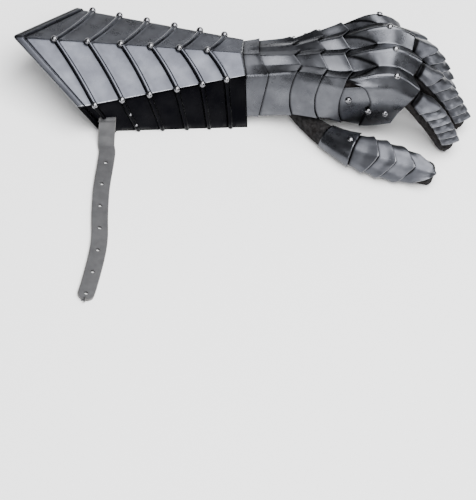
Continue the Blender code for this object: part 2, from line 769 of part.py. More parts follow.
def make_forearm_strap():
    """The strap from inside the thumb side wing, through its slot and over the surface."""
    inside = STEEL + GAP
    low, half = SLOT_HEIGHT, STRAP_THICKNESS / 2
    tilted = [
        at(STRAP_X, wing_reach(low + STRAP_RISE, inside), low + STRAP_RISE),
        at(STRAP_X, wing_reach(low + STRAP_RISE * .5, inside), low + STRAP_RISE * .5),
        at(STRAP_X, wing_reach(low, inside) - half * .4, low + half * 2.8),
        at(STRAP_X, wing_reach(low, inside) + half * 1.6, low + half),
        at(STRAP_X, wing_reach(low, -half * 2.8), low + half * 1.1),
        at(STRAP_X, wing_reach(low, -half * 6.5), low * .75 + half),
        at(STRAP_X, wing_reach(low, -half * 11), low * .22 + STRAP_THICKNESS + SEAM),
    ]
    run = [at(STRAP_X + x * CUFF_LENGTH, reach, STRAP_THICKNESS + SEAM) for x, reach in STRAP_RUN]
    path = smooth_path(tilted, 2)[:-1] + smooth_path([tilted[-1], *run], 2)
    asides, widths = [], []
    left = sum((b - a).length for a, b in zip(path, path[1:]))
    for i, p in enumerate(path):
        ahead = path[min(i + 1, len(path) - 1)] - path[max(i - 1, 0)]
        flat = Vector((ahead.x, ahead.y, 0)) if abs(ahead.y) > 1e-4 else Vector((0, -1, 0))
        if flat.y > 0:
            flat = -flat
        level = Vector((0, 0, 1)).cross(flat.normalized())
        asides.append(wing_aside().lerp(level, min(1, max(0, (i - 5) / 4))).normalized())
        round_end = min(1, max(left, 0) / (STRAP_WIDTH / 2))
        widths.append(STRAP_WIDTH * max(.35, math.sqrt(1 - (1 - round_end) ** 2)))
        if i + 1 < len(path):
            left -= (path[i + 1] - p).length
    strap = ribbon("forearm_strap", path, asides, widths, STRAP_THICKNESS, "grey_leather")
    holes = []
    start = len(tilted) * 2 - 2
    walked, wanted = 0.0, FIRST_HOLE
    for a, b in zip(path[start:], path[start + 1:]):
        step = (b - a).length
        while walked + step >= wanted and len(holes) < STRAP_HOLES:
            centre = a.lerp(b, (wanted - walked) / step)
            holes.append(cylinder("hole", HOLE_RADIUS, STRAP_THICKNESS * 3, centre, CUTTERS))
            wanted += HOLE_PITCH
        walked += step
    cut(strap, join_meshes("strap_holes", holes, CUTTERS, "grey_leather"))
    root = wing_reach(low + STRAP_RISE * .7, inside + STRAP_THICKNESS)
    lean = wing_normal()
    dome("strap_rivet", at(STRAP_X, root, low + STRAP_RISE * .7), lean, RIVET_RADIUS, RIVET_RISE,
         "nickel", PARTS)


def wing_normal():
    """Direction into the cuff from its thumb side wing, at the strap."""
    edge, corner = cuff_line(0, STRAP_X), cuff_line(1, STRAP_X)
    rise = at(0, corner.x - edge.x, corner.y - edge.y)
    return rise.cross(wing_aside()).normalized()


def cylinder(name, radius, height, centre, collection, segments=8):
    """A plain upright cylinder."""
    bm = bmesh.new()
    bmesh.ops.create_cone(bm, cap_ends=True, segments=segments, radius1=radius, radius2=radius, depth=height)
    mesh = bpy.data.meshes.new(name)
    bm.to_mesh(mesh)
    bm.free()
    made = bpy.data.objects.new(name, mesh)
    made.location = centre
    collection.objects.link(made)
    return made


def wire(name, points, radius, stuff, cyclic=False, resolution=1):
    """A round wire through points."""
    curve = bpy.data.curves.new(name, "CURVE")
    curve.dimensions = "3D"
    curve.bevel_depth = radius
    curve.bevel_resolution = resolution
    curve.use_fill_caps = not cyclic
    spline = curve.splines.new("POLY")
    spline.points.add(len(points) - 1)
    for target, p in zip(spline.points, points):
        target.co = (*p, 1)
    spline.use_cyclic_u = cyclic
    curve.materials.append(material(stuff))
    made = bpy.data.objects.new(name, curve)
    PARTS.objects.link(made)
    return made


def make_buckle():
    """The buckle's leather tab on the little finger's side, its frame and its prong."""
    outer = BUCKLE_WIRE + GAP + TAB_THICKNESS
    bar = Vector((-BUCKLE_REACH, BAR_HEIGHT))
    inside = STEEL + GAP + TAB_THICKNESS
    top = TAB_RISE + .006
    flat = TAB_THICKNESS + SEAM
    profile = [
        Vector((-wing_reach(top, inside), top)),
        Vector((-wing_reach(top * .55, inside), top * .55)),
        Vector((-wing_reach(top * .3, inside) + .0006, top * .3)),
        Vector((-wing_reach(0, inside) + .0045, flat + .0006)),
        Vector((-wing_reach(0, inside) + .0080, flat)),
        bar + Vector((-outer * 1.7, flat - BAR_HEIGHT)),
    ]
    around = BUCKLE_WIRE + GAP
    for i in range(9):
        turn = math.radians(-95 + 225 * i / 8)
        profile.append(bar + Vector((math.cos(turn), math.sin(turn))) * around)
    profile.append(Vector((bar.x - outer * 1.6, flat + SEAM * 1.5)))
    profile.append(Vector((bar.x - outer * 3.4, flat + SEAM)))
    path = [at(STRAP_X, p.x, p.y) for p in profile]
    aside = wing_aside()
    aside.y = -aside.y
    asides = [aside] * 3 + [aside.lerp(Vector((1, 0, 0)), .5)] + [Vector((1, 0, 0))] * (len(path) - 4)
    tab = ribbon("buckle_tab", path, asides, [STRAP_WIDTH] * len(path), TAB_THICKNESS, "grey_leather")
    gate = box(
        "prong_gate",
        (STRAP_X - PRONG_WIRE * 2, BUCKLE_REACH - outer * 1.6, -.001),
        (STRAP_X + PRONG_WIRE * 2, BUCKLE_REACH + outer * 1.4, BAR_HEIGHT * 3),
    )
    cut(tab, gate)
    slope = Vector((BUCKLE_LENGTH, -(BAR_HEIGHT - BUCKLE_WIRE - SEAM)))
    outline = rounded_frame(bar, slope, BUCKLE_WIDTH / 2 - BUCKLE_WIRE)
    frame = wire("buckle_frame", outline, BUCKLE_WIRE, "nickel", cyclic=True)
    pivot(frame, at(STRAP_X, bar.x, bar.y))
    eye = PRONG_WIRE + BUCKLE_WIRE + SEAM * 1.3
    rest = bar + slope + Vector((PRONG_WIRE, BUCKLE_WIRE + PRONG_WIRE + SEAM * 1.5))
    shape = prong_line(bar, eye, rest)
    prong = wire("buckle_prong", [at(STRAP_X, p.x, p.y) for p in shape], PRONG_WIRE, "nickel")
    pivot(prong, at(STRAP_X, bar.x, bar.y))
    inward = wing_normal()
    inward.y = -inward.y
    place = at(STRAP_X, -wing_reach(TAB_RISE, inside), TAB_RISE)
    dome("tab_rivet", place, inward, TAB_RIVET_RADIUS, RIVET_RISE * .6, "nickel", PARTS)


def prong_line(bar, eye, rest):
    """Middle line of the prong: an eye round the bar, then a straight run to its rest."""
    points = []
    for i in range(9):
        turn = math.radians(-30 - 240 * i / 8)
        points.append(bar + Vector((math.cos(turn), math.sin(turn))) * eye)
    points.append(rest)
    return points


def rounded_frame(bar, slope, half):
    """Points of the buckle frame's middle line, a rectangle with round corners."""
    points = []
    ends = ((1, 1), (-1, 1), (-1, 0), (1, 0))
    for quarter, (side, far) in enumerate(ends):
        for step in range(4):
            turn = math.radians(90 * quarter + 30 * step)
            across = side * (half - BUCKLE_CORNER) + BUCKLE_CORNER * math.cos(turn)
            inner = slope.length - BUCKLE_CORNER if far else BUCKLE_CORNER
            spot = bar + slope.normalized() * (inner + BUCKLE_CORNER * math.sin(turn))
            points.append(at(STRAP_X + across, spot.x, spot.y))
    return points


def pivot(obj, place):
    """Put a curve's origin on its joint's axis."""
    for spline in obj.data.splines:
        for point in spline.points:
            point.co = (*(point.co.xyz - place), 1)
    obj.location = place


def make_palm_strap():
    """The strap across the palm, from one side lame to the other."""
    def under(share, reach):
        palm, half, _ = interpolate([(row[0], row[1:]) for row in PALM], share)
        rise = max(0, abs(reach) / half - .75)
        return Vector((reach * HAND_WIDTH, palm * HAND_HEIGHT - SEAM * 8 + rise * .02))

    profile = []
    for share, reach, height in PALM_STRAP:
        spot = under(share, reach) if height is None else Vector((reach * HAND_WIDTH, height * HAND_HEIGHT))
        profile.append(at(hand_x(share), *spot))
    path = smooth_path(profile, 2)
    asides = []
    for i in range(len(path)):
        ahead = path[min(i + 1, len(path) - 1)] - path[max(i - 1, 0)]
        lean = Vector((-1, 0, 0))
        asides.append((lean - ahead * lean.dot(ahead) / ahead.length_squared).normalized())
    widths = [PALM_STRAP_WIDTH] * len(path)
    ribbon("palm_strap", path, asides, widths, PALM_STRAP_THICKNESS, "grey_leather")


def make_plate_rivets():
    """The rivets on the hand's plates."""
    for name, share, column, depth in PLATE_RIVETS:
        here, normal = skin(share, column, -depth)
        dome(name, here, normal, RIVET_RADIUS, RIVET_RISE, "bright_steel", PARTS)


def make_thumb():
    """The thumb's base plate with its rivet, and its lames."""
    _, count, start, rows = THUMB
    length = digit_length(rows)
    scale("thumb_base_plate", rows, THUMB_BASE_START, start, length, THUMB_BACK,
          angles=THUMB_ANGLES, point=0.0)
    make_scales("thumb", count, start, rows, THUMB_BACK, angles=THUMB_ANGLES, point=THUMB_POINT)
    share, angle = THUMB_RIVET
    spot = digit_point(rows, share, angle, SCALE_HIGH, THUMB_BACK)
    along = digit_frame(rows, share, THUMB_BACK)[0]
    out = spot - digit_place(rows, share)[0]
    out -= along * out.dot(along)
    dome("thumb_rivet", spot, out.normalized(), RIVET_RADIUS, RIVET_RISE, "bright_steel", PARTS)


def stand_on_origin():
    """Move everything so that the origin is below the middle of the whole, at its lowest point."""
    graph = bpy.context.evaluated_depsgraph_get()
    low, high = Vector((9, 9, 9)), Vector((-9, -9, -9))
    for obj in PARTS.objects:
        shape = obj.evaluated_get(graph)
        mesh = shape.to_mesh()
        for vert in mesh.vertices:
            spot = shape.matrix_world @ vert.co
            for k in range(3):
                low[k], high[k] = min(low[k], spot[k]), max(high[k], spot[k])
        shape.to_mesh_clear()
    shift = Vector(((low.x + high.x) / 2, (low.y + high.y) / 2, low.z))
    for obj in (*PARTS.objects, *CUTTERS.objects):
        obj.location -= shift
    print("origin shift", tuple(round(v, 6) for v in shift), "size", tuple(high - low))


PARTS, CUTTERS = start_scene()
make_cuff()
lame("wrist_lame_1", CUFF_EDGE, WRIST_EDGE)
lame("wrist_lame_2", WRIST_EDGE, HAND_EDGE_1)
lame("hand_lame_1", HAND_EDGE_1, HAND_EDGE_2)
lame("hand_lame_2", HAND_EDGE_2, HAND_EDGE_3)
make_knuckle_plate()
lame("side_lame_thumb", HAND_EDGE_3[:4], SIDE_THUMB_EDGE, range(4), tuck=GAP, low=TUCK)
lame("side_lame_little", HAND_EDGE_3[11:], SIDE_LITTLE_EDGE, range(11, 15), tuck=GAP, low=TUCK)
make_glove()
for finger, scales, first, finger_rows in FINGERS:
    make_scales(finger, scales, first, finger_rows, Vector((0, 0, 1)))
make_thumb()
make_forearm_strap()
make_buckle()
make_palm_strap()
make_plate_rivets()
stand_on_origin()
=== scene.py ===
"""Looks of the left-hand armoured gauntlet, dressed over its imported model.

Sections repeat the part's own sizes, at a finer pitch. Lengths are in metres. Places are given by
the distance from the cuff's point, the reach towards the thumb and the height, as in the part.
"""

import math
import random

import bmesh
import bpy
from mathutils import Matrix, Vector, noise


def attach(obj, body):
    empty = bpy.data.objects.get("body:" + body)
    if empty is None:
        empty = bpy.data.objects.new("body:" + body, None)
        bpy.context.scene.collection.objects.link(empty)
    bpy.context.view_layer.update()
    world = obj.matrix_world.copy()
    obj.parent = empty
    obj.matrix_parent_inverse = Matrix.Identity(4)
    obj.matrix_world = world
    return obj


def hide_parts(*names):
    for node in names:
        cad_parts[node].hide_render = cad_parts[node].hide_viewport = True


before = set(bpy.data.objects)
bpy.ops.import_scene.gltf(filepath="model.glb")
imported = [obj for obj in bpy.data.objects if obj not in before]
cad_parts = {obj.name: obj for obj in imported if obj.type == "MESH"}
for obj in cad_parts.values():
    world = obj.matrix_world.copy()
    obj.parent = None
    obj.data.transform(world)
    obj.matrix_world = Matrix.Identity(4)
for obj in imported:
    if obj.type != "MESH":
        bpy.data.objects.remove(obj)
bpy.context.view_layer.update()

# Sheet, leather and clearances
STEEL = 0.0012
SCALE_STEEL = 0.0009
LEATHER = 0.0018
GAP = 0.0004
TUCK = STEEL + 2 * GAP
LAP = 0.005

# Cuff
CUFF_LENGTH = 0.220
CUFF_POINT = 0.065
CUFF_END_HALF = 0.064
CUFF_END_RIDGE = 0.051
CUFF_END_CORNER = 0.029
WING_SLANT = 0.025
WING_END_HALF = 0.0655
BORDER_WIDTH = 0.0055
BORDER_RISE = 0.0012
RIB_WIDTH = 0.0055
RIB_RISE = 0.0020
STUD_RADIUS = 0.00325
WING_SPARE = 0.10
WING_WRIST_SLANT = 0.010
SLOT_PLAY = 0.0008
# Places of each rib: along the ridge as a share of the cuff's length, and along the corner as a
# share of the corner's own length
RIBS = ((.179, .097), (.323, .262), (.467, .429), (.598, .597), (.722, .752), (.845, .901))
# How far the cuff reaches past its length at each line, from the thumb side
CUFF_WRIST_EDGE = (0.0022, 0.0030, 0, 0.0020, 0.0020)

# Hand: the sections below are shares of these three
HAND_LENGTH = 0.220
HAND_WIDTH = 0.100
HAND_HEIGHT = 0.100

# The cuff's wrist end, which the first lame fits into
CUFF_WRIST_HALF = 0.24 * HAND_WIDTH
CUFF_WRIST_RIDGE = 0.56 * HAND_HEIGHT
CUFF_WRIST_CORNER = 0.50 * HAND_HEIGHT
WING_WRIST_HALF = 0.46 * HAND_WIDTH

# Straps and buckle
STRAP_WIDTH = 0.0159
STRAP_THICKNESS = 0.0026
STRAP_HOLES = 7
FIRST_HOLE = 0.0300
HOLE_PITCH = 0.0270
HOLE_RADIUS = 0.0019
STRAP_X = 0.095
SLOT_HEIGHT = 0.0120
STRAP_RISE = 0.015
BUCKLE_WIRE = 0.0014
BUCKLE_WIDTH = 0.024
BUCKLE_LENGTH = 0.020
BUCKLE_REACH = 0.036
BUCKLE_CORNER = 0.0030
BAR_HEIGHT = 0.0043
PRONG_WIRE = 0.0010
TAB_THICKNESS = 0.0016
TAB_RISE = 0.018
PALM_STRAP_WIDTH = 0.0135
PALM_STRAP_THICKNESS = 0.0020
# Free run of the strap over the surface: shares of CUFF_LENGTH sideways from its start, and reach
STRAP_RUN = ((.0, .083), (.003, .092), (-.006, .108), (-.026, .139), (-.035, .169), (-.039, .199),
             (-.056, .224), (-.091, .258), (-.112, .273))
# Palm strap: share of HAND_LENGTH, reach, and height, or None where it follows the palm
PALM_STRAP = ((.545, .405, .36), (.540, .402, .29), (.530, .330, None), (.515, .250, None),
              (.500, .160, None), (.470, -.050, None), (.445, -.250, None), (.430, -.330, None),
              (.425, -.372, .24), (.425, -.374, .31))

# Rivets
RIVET_SEAT = 0.0004
RIVET_RADIUS = 0.0032
RIVET_RISE = 0.0022
TAB_RIVET_RADIUS = 0.005

# Columns of a hand section, from the thumb side over the back to the little finger's side
COLUMNS = (
    "thumb_edge", "thumb_low", "thumb_side", "thumb_top",
    "index", "valley_1", "middle", "valley_2", "ring", "valley_3", "little",
    "little_top", "little_side", "little_low", "little_edge",
)

# Outer faces of the hand's plates. Each row is a share of HAND_LENGTH from the wrist,
# then (reach, height) of each column as shares of HAND_WIDTH and HAND_HEIGHT.
HAND_SECTIONS = (
    (-0.03, ((.410, .12), (.356, .25), (.300, .38), (.262, .46), (.245, .50), (.122, .53),
             (0, .560), (-.062, .545), (-.122, .53), (-.182, .515), (-.245, .50),
             (-.262, .46), (-.300, .38), (-.356, .25), (-.410, .12))),
    (0.0, ((.407, .12), (.350, .25), (.293, .38), (.258, .46), (.240, .50), (.120, .53),
           (0, .560), (-.060, .545), (-.120, .53), (-.180, .515), (-.240, .50),
           (-.258, .46), (-.293, .38), (-.350, .25), (-.407, .12))),
    (0.09, ((.400, .12), (.345, .26), (.295, .40), (.258, .49), (.235, .54), (.118, .555),
            (.01, .585), (-.058, .562), (-.120, .56), (-.185, .535), (-.250, .52),
            (-.275, .47), (-.315, .38), (-.365, .26), (-.405, .14))),
    (0.218, ((.410, .19), (.370, .28), (.325, .42), (.275, .54), (.235, .62), (.120, .595),
             (.02, .625), (-.055, .600), (-.130, .60), (-.200, .565), (-.270, .56),
             (-.310, .48), (-.350, .38), (-.385, .27), (-.405, .17))),
    (0.323, ((.445, .225), (.420, .30), (.385, .45), (.345, .58), (.300, .67), (.170, .645),
             (.05, .705), (-.045, .665), (-.140, .685), (-.220, .645), (-.305, .655),
             (-.360, .55), (-.400, .42), (-.415, .31), (-.420, .21))),
    (0.427, ((.475, .230), (.455, .32), (.440, .48), (.405, .62), (.355, .72), (.220, .670),
             (.08, .765), (-.040, .695), (-.145, .765), (-.250, .705), (-.340, .745),
             (-.405, .64), (-.450, .48), (-.455, .35), (-.445, .25))),
    (0.509, ((.485, .215), (.470, .33), (.455, .49), (.415, .66), (.355, .765), (.220, .710),
             (.085, .830), (-.040, .745), (-.155, .860), (-.270, .790), (-.370, .830),
             (-.435, .70), (-.470, .52), (-.470, .38), (-.455, .27))),
    (0.568, ((.480, .21), (.468, .34), (.455, .50), (.420, .68), (.350, .795), (.220, .775),
             (.09, .875), (-.040, .805), (-.160, .915), (-.270, .845), (-.380, .870),
             (-.445, .72), (-.480, .54), (-.475, .40), (-.455, .29))),
    (0.636, ((.465, .235), (.458, .355), (.450, .50), (.420, .67), (.345, .805), (.220, .800),
             (.09, .910), (-.035, .835), (-.160, .945), (-.270, .855), (-.380, .845),
             (-.450, .69), (-.480, .54), (-.475, .42), (-.450, .32))),
    (0.700, ((.455, .27), (.452, .375), (.462, .49), (.440, .63), (.355, .765), (.225, .745),
             (.10, .880), (-.030, .800), (-.155, .905), (-.260, .785), (-.370, .760),
             (-.435, .62), (-.460, .52), (-.455, .43), (-.440, .35))),
    (0.782, ((.450, .31), (.450, .38), (.468, .46), (.455, .56), (.390, .660), (.250, .640),
             (.12, .795), (-.015, .700), (-.140, .810), (-.250, .670), (-.360, .650),
             (-.420, .53), (-.445, .45), (-.440, .38), (-.430, .32))),
)

# Distal edges of the plates, one share of HAND_LENGTH for each column
CUFF_EDGE = (.010, .011, .012, .013, .014, .007, 0, .003, .005, .007, .009, .009, .009, .009, .009)
WRIST_EDGE = (.095, .100, .105, .108, .108, .090, .072, .072, .074, .078, .082, .082, .082, .082, .082)
HAND_EDGE_1 = (.235, .218, .210, .216, .226, .252, .218, .250, .213, .248, .213, .214, .216, .218, .220)
HAND_EDGE_2 = (.345, .326, .316, .324, .334, .362, .325, .356, .320, .354, .322, .322, .322, .323, .325)
HAND_EDGE_3 = (.450, .430, .420, .428, .438, .470, .429, .462, .424, .460, .426, .426, .427, .428, .430)
KNUCKLE_START = (.530, .545, .560, .520, None, None, None, None, None, None, None,
                 .500, .540, .530, .520)
KNUCKLE_EDGE = (.668, .685, .705, .735, .765, .735, .773, .732, .742, .692, .682, .672, .655, .642, .630)
SIDE_THUMB_EDGE = (.565, .580, .595, .555)
SIDE_LITTLE_EDGE = (.535, .575, .565, .555)
KNUCKLE_RAMP = 0.10

# Rivets on the hand's plates: name, share of HAND_LENGTH, column with its fraction, and
# how far their plate lies below the outermost ones
PLATE_RIVETS = (
    ("knuckle_rivet_1", .652, 4, 0), ("knuckle_rivet_2", .644, 6, 0), ("knuckle_rivet_3", .621, 8, 0),
    ("knuckle_rivet_4", .588, 10, 0), ("panel_rivet_1", .556, 1.4, 0),
    ("panel_rivet_2", .632, 1.2, 0), ("side_lame_rivet", .462, 2.05, TUCK),
)

# Fingers and thumb. Each row is a share of HAND_LENGTH from the wrist, a reach, a height, and
# the glove's half width and half depth there, as shares of HAND_WIDTH or HAND_HEIGHT.
# Before the rows come the number of scales, and where along the digit they start.
FINGERS = (
    ("index", 6, .34, (
        (.630, .312, .600, .082, .098), (.715, .340, .532, .090, .100),
        (.805, .402, .400, .110, .114), (.872, .447, .245, .112, .108),
        (.925, .490, .080, .098, .090))),
    ("middle", 6, .30, (
        (.630, .092, .740, .086, .102), (.730, .112, .655, .092, .104),
        (.830, .134, .490, .111, .118), (.920, .160, .270, .112, .110),
        (.985, .190, .080, .098, .090))),
    ("ring", 6, .30, (
        (.610, -.160, .762, .082, .098), (.712, -.152, .700, .090, .100),
        (.805, -.137, .570, .104, .114), (.878, -.112, .340, .106, .106),
        (.932, -.087, .080, .096, .088))),
    ("little", 5, .32, (
        (.580, -.352, .672, .066, .084), (.678, -.362, .606, .074, .086),
        (.768, -.375, .475, .088, .098), (.842, -.368, .290, .092, .096),
        (.890, -.350, .074, .084, .084))),
)
THUMB = ("thumb", 4, .62, (
    (.240, .190, .130, .085, .068), (.300, .355, .100, .090, .068),
    (.385, .540, .100, .108, .074), (.500, .720, .132, .136, .084),
    (.640, .835, .138, .150, .085), (.838, .910, .090, .112, .080)))
THUMB_BASE_START = 0.44
THUMB_POINT = 0.0100
THUMB_RIVET = (.585, 20)
THUMB_BACK = Vector((0, -.55, .83))
SCALE_RIDGE = 0.0012
RIDGE_ANGLE = 28
SCALE_POINT = 0.0090
SCALE_LAP = 0.0035
SCALE_LOW = 0.0018
SCALE_HIGH = SCALE_LOW + SCALE_STEEL + GAP

# Glove: clearance under the plates, gap at its seams, and sections of its cuff. Those are
# a share of CUFF_LENGTH, then the half width as a share of the wings' reach there, and the
# middle and half height as shares of the ridge's height there.
GLOVE_CLEAR = 0.0052
SEAM = 0.0003
CUFF_SQUARENESS = 0.85
GLOVE_CUFF = ((.510, .823, .355, .308), (.600, .794, .370, .319), (.720, .749, .394, .333),
              (.850, .653, .434, .358), (.9985, .547, .468, .366))

# Palm side of the glove's hand: shares of HAND_LENGTH and HAND_HEIGHT, and of HAND_WIDTH
PALM = (
    (0.0, .055, .262, .27), (0.09, .055, .258, .27), (0.218, .085, .268, .33),
    (0.323, .110, .325, .38), (0.427, .140, .378, .42), (0.509, .200, .390, .46),
    (0.568, .300, .390, .53), (0.636, .420, .380, .60), (0.675, .480, .360, .63),
)


# Where the part's own origin lies, and the photograph's camera
ORIGIN = Vector((0.223519, -0.103486, 0))
CAMERA_AZIMUTH = -13.8
CAMERA_ELEVATION = 49.2
CAMERA_ROLL = 15.1
CAMERA_DISTANCE = 4.0
PIXELS_PER_METRE = 1062.0
IMAGE_HEIGHT = 500
CAMERA_TARGET = Vector((-0.0005, 0, 0.03))
CAMERA_OFFSET = (7.4, -96.7)


def at(x, reach, height):
    """Place a point by its distance along the gauntlet, its reach and its height."""
    return Vector((x, -reach, height)) - ORIGIN


def hand_x(share):
    """Distance from the cuff's point of a share of the hand's length."""
    return CUFF_LENGTH + share * HAND_LENGTH


def hand_point(share, reach, height):
    """Place a point by its three shares of the hand's sizes."""
    return at(hand_x(share), reach * HAND_WIDTH, height * HAND_HEIGHT)


def interpolate(rows, x):
    """Read rows of (x, values) at x, by a smooth curve through the rows."""
    places = [row[0] for row in rows]
    x = min(max(x, places[0]), places[-1])
    first = max(i for i in range(len(places) - 1) if places[i] <= x)
    span = places[first + 1] - places[first]
    t = (x - places[first]) / span

    def slope(i, k):
        before, after = max(i - 1, 0), min(i + 1, len(rows) - 1)
        return (rows[after][1][k] - rows[before][1][k]) / (places[after] - places[before])

    values = []
    for k in range(len(rows[0][1])):
        start, end = rows[first][1][k], rows[first + 1][1][k]
        values.append(
            (2 * t**3 - 3 * t**2 + 1) * start
            + (t**3 - 2 * t**2 + t) * span * slope(first, k)
            + (3 * t**2 - 2 * t**3) * end
            + (t**3 - t**2) * span * slope(first + 1, k)
        )
    return values


FLAT_SECTIONS = [(share, [value for pair in pairs for value in pair]) for share, pairs in HAND_SECTIONS]


def section(share):
    """Points of a hand section, as (reach, height) in metres."""
    values = interpolate(FLAT_SECTIONS, share)
    return [
        Vector((values[2 * i] * HAND_WIDTH, values[2 * i + 1] * HAND_HEIGHT))
        for i in range(len(COLUMNS))
    ]


def offset_point(points, i, lift):
    """Move point i of a flat polyline outwards, which is to the left of its direction."""
    here = points[i]
    normals = []
    for a, b in ((i - 1, i), (i, i + 1)):
        if 0 <= a and b < len(points) and (points[b] - points[a]).length > 1e-9:
            along = points[b] - points[a]
            normals.append(Vector((along.y, -along.x)).normalized())
    total = sum(normals, Vector((0, 0))).normalized()
    return here + total * (lift / max(total.dot(normals[0]), 0.5))


def section_point(share, column, lift):
    """Point of a hand section at a column, moved outwards by a lift."""
    moved = offset_point(section(share), column, lift)
    return at(hand_x(share), moved.x, moved.y)


def cuff_line(column, x):
    """Reach and height of a cuff line at x: 0 free edge, 1 corner and 2 ridge, thumb side first."""
    side = 1 if column < 2 else -1
    kind = min(column, 4 - column)
    if kind == 2:
        share = x / CUFF_LENGTH
        return Vector((0, CUFF_END_RIDGE + share * (CUFF_WRIST_RIDGE - CUFF_END_RIDGE)))
    if kind == 1:
        share = (x - CUFF_POINT) / (CUFF_LENGTH - CUFF_POINT)
        half = CUFF_END_HALF + share * (CUFF_WRIST_HALF - CUFF_END_HALF)
        return Vector((side * half, CUFF_END_CORNER + share * (CUFF_WRIST_CORNER - CUFF_END_CORNER)))
    start = CUFF_POINT + WING_SLANT
    share = (x - start) / (CUFF_LENGTH - start)
    half = WING_END_HALF + share * (WING_WRIST_HALF - WING_END_HALF)
    edge, corner = Vector((side * half, 0)), cuff_line(1 if side > 0 else 3, x)
    return edge + (edge - corner) * WING_SPARE


def corner_x(share):
    """Distance from the cuff's point of a share of the corner's length."""
    return CUFF_POINT + share * (CUFF_LENGTH - CUFF_POINT)


def digit_place(rows, s):
    """Centre, half width and half depth of a digit at a share of its rows."""
    table = [(i / (len(rows) - 1), row) for i, row in enumerate(rows)]
    x, reach, height, width, depth = interpolate(table, s)
    return hand_point(x, reach, height), width * HAND_WIDTH, depth * HAND_WIDTH


def digit_frame(rows, s, back):
    """Directions of a digit at a share of its rows: along it, to its back, and to the little side."""
    step = 0.02
    ahead, behind = digit_place(rows, min(s + step, 1))[0], digit_place(rows, max(s - step, 0))[0]
    along = (ahead - behind).normalized()
    dorsal = (back - along * back.dot(along)).normalized()
    return along, dorsal, dorsal.cross(along)


def digit_point(rows, s, angle, lift, back):
    """Point on a digit's skin at an angle from its back, moved outwards by a lift."""
    centre, width, depth = digit_place(rows, s)
    _, dorsal, aside = digit_frame(rows, s, back)
    turn = math.radians(angle)
    return centre + dorsal * math.cos(turn) * (depth + lift) + aside * math.sin(turn) * (width + lift)


def digit_length(rows):
    """Length of a digit's middle line."""
    places = [digit_place(rows, i / 40)[0] for i in range(41)]
    return sum((b - a).length for a, b in zip(places, places[1:]))


def smooth_path(points, each, closed=False):
    """A smooth curve through points, open or closed, with some steps between each two."""
    count = len(points)
    made = []
    for i in range(count if closed else count - 1):
        near = (i + k for k in (-1, 0, 1, 2))
        a, b, c, d = (points[k % count if closed else min(max(k, 0), count - 1)] for k in near)
        for step in range(each):
            t = step / each
            made.append(
                0.5 * (2 * b + (c - a) * t + (2 * a - 5 * b + 4 * c - d) * t**2
                       + (3 * b - a - 3 * c + d) * t**3)
            )
    return made if closed else made + [points[-1]]


def hand_ring(share, grow):
    """A ring of the glove's hand at a share of its length, grown by a little."""
    palm, half, middle = interpolate([(row[0], row[1:]) for row in PALM], share)
    half = half * HAND_WIDTH + grow
    palm = palm * HAND_HEIGHT - grow
    middle *= HAND_HEIGHT
    tops = section(share)
    backs = [offset_point(tops, i, grow - GLOVE_CLEAR) for i in (4, 5, 7, 9, 10)]
    outline = [Vector((half, middle)), *backs, Vector((-half, middle))]
    for across, up in ((-.8, .004), (-.4, 0), (0, .0015), (.4, 0), (.8, .004)):
        outline.append(Vector((across * half, palm + up)))
    return [at(hand_x(share), p.x, p.y) for p in smooth_path(outline, 2, closed=True)]


def skin(share, column, lift=0.0):
    """Point and normal of the hand's outer face at a share and a fraction of a column."""
    def place(s, c):
        low = min(int(c), len(COLUMNS) - 2)
        return section_point(s, low, lift).lerp(section_point(s, low + 1, lift), c - low)

    here = place(share, column)
    ahead = place(share + 0.01, column) - place(share - 0.01, column)
    across = place(share, column + 0.2) - place(share, column - 0.2)
    return here, ahead.cross(across).normalized()


def wing_reach(height, side_in, x=STRAP_X):
    """Reach of the wing's outer face at the strap, moved inwards by some."""
    edge, corner = cuff_line(0, x), cuff_line(1, x)
    share = (height - edge.y) / (corner.y - edge.y)
    return edge.x + share * (corner.x - edge.x) - side_in


def wing_aside():
    """Direction along the thumb side wing, level, at the strap."""
    half = STRAP_WIDTH / 2
    narrowing = wing_reach(SLOT_HEIGHT, 0, STRAP_X + half) - wing_reach(SLOT_HEIGHT, 0, STRAP_X - half)
    return Vector((STRAP_WIDTH, -narrowing, 0)).normalized()


def wing_normal():
    """Direction into the cuff from its thumb side wing, at the strap."""
    edge, corner = cuff_line(0, STRAP_X), cuff_line(1, STRAP_X)
    rise = Vector((0, edge.x - corner.x, corner.y - edge.y))
    return rise.cross(wing_aside()).normalized()


# How far the wear and painted highlight of a plate's rim reach in
WEAR_AND_HIGHLIGHT_WIDTH = 0.0009


def placed(name, data):
    """An object of some data, in the scene."""
    made = bpy.data.objects.new(name, data)
    bpy.context.scene.collection.objects.link(made)
    return made


def baked(name, bm, stuff=None, smooth=False):
    """An object from a mesh in the making, which is freed."""
    mesh = bpy.data.meshes.new(name)
    bm.to_mesh(mesh)
    bm.free()
    if stuff:
        mesh.materials.append(stuff)
    if smooth:
        mesh.shade_smooth()
    return placed(name, mesh)


def mesh_piece(name, points, faces, stuff, values=None, painted_shade=None):
    """An object from points and faces, with a value of wear and painted highlight and a value of painted
    shade for each point.
    """
    mesh = bpy.data.meshes.new(name)
    mesh.from_pydata([tuple(p) for p in points], [], faces)
    for label, layer_values in (("wear_and_highlight", values), ("painted_shade", painted_shade)):
        if layer_values is not None:
            layer = mesh.attributes.new(label, "FLOAT", "POINT")
            layer.data.foreach_set("value", [float(v) for v in layer_values])
    mesh.materials.append(stuff)
    mesh.shade_smooth()
    return placed(name, mesh)


def grid_faces(rows, columns, closed=False):
    """Faces of a grid of points stored row after row."""
    faces = []
    last = columns if closed else columns - 1
    for row in range(rows - 1):
        for column in range(last):
            after = (column + 1) % columns
            here = row * columns
            ahead = here + columns
            faces.append((here + column, ahead + column, ahead + after, here + after))
    return faces


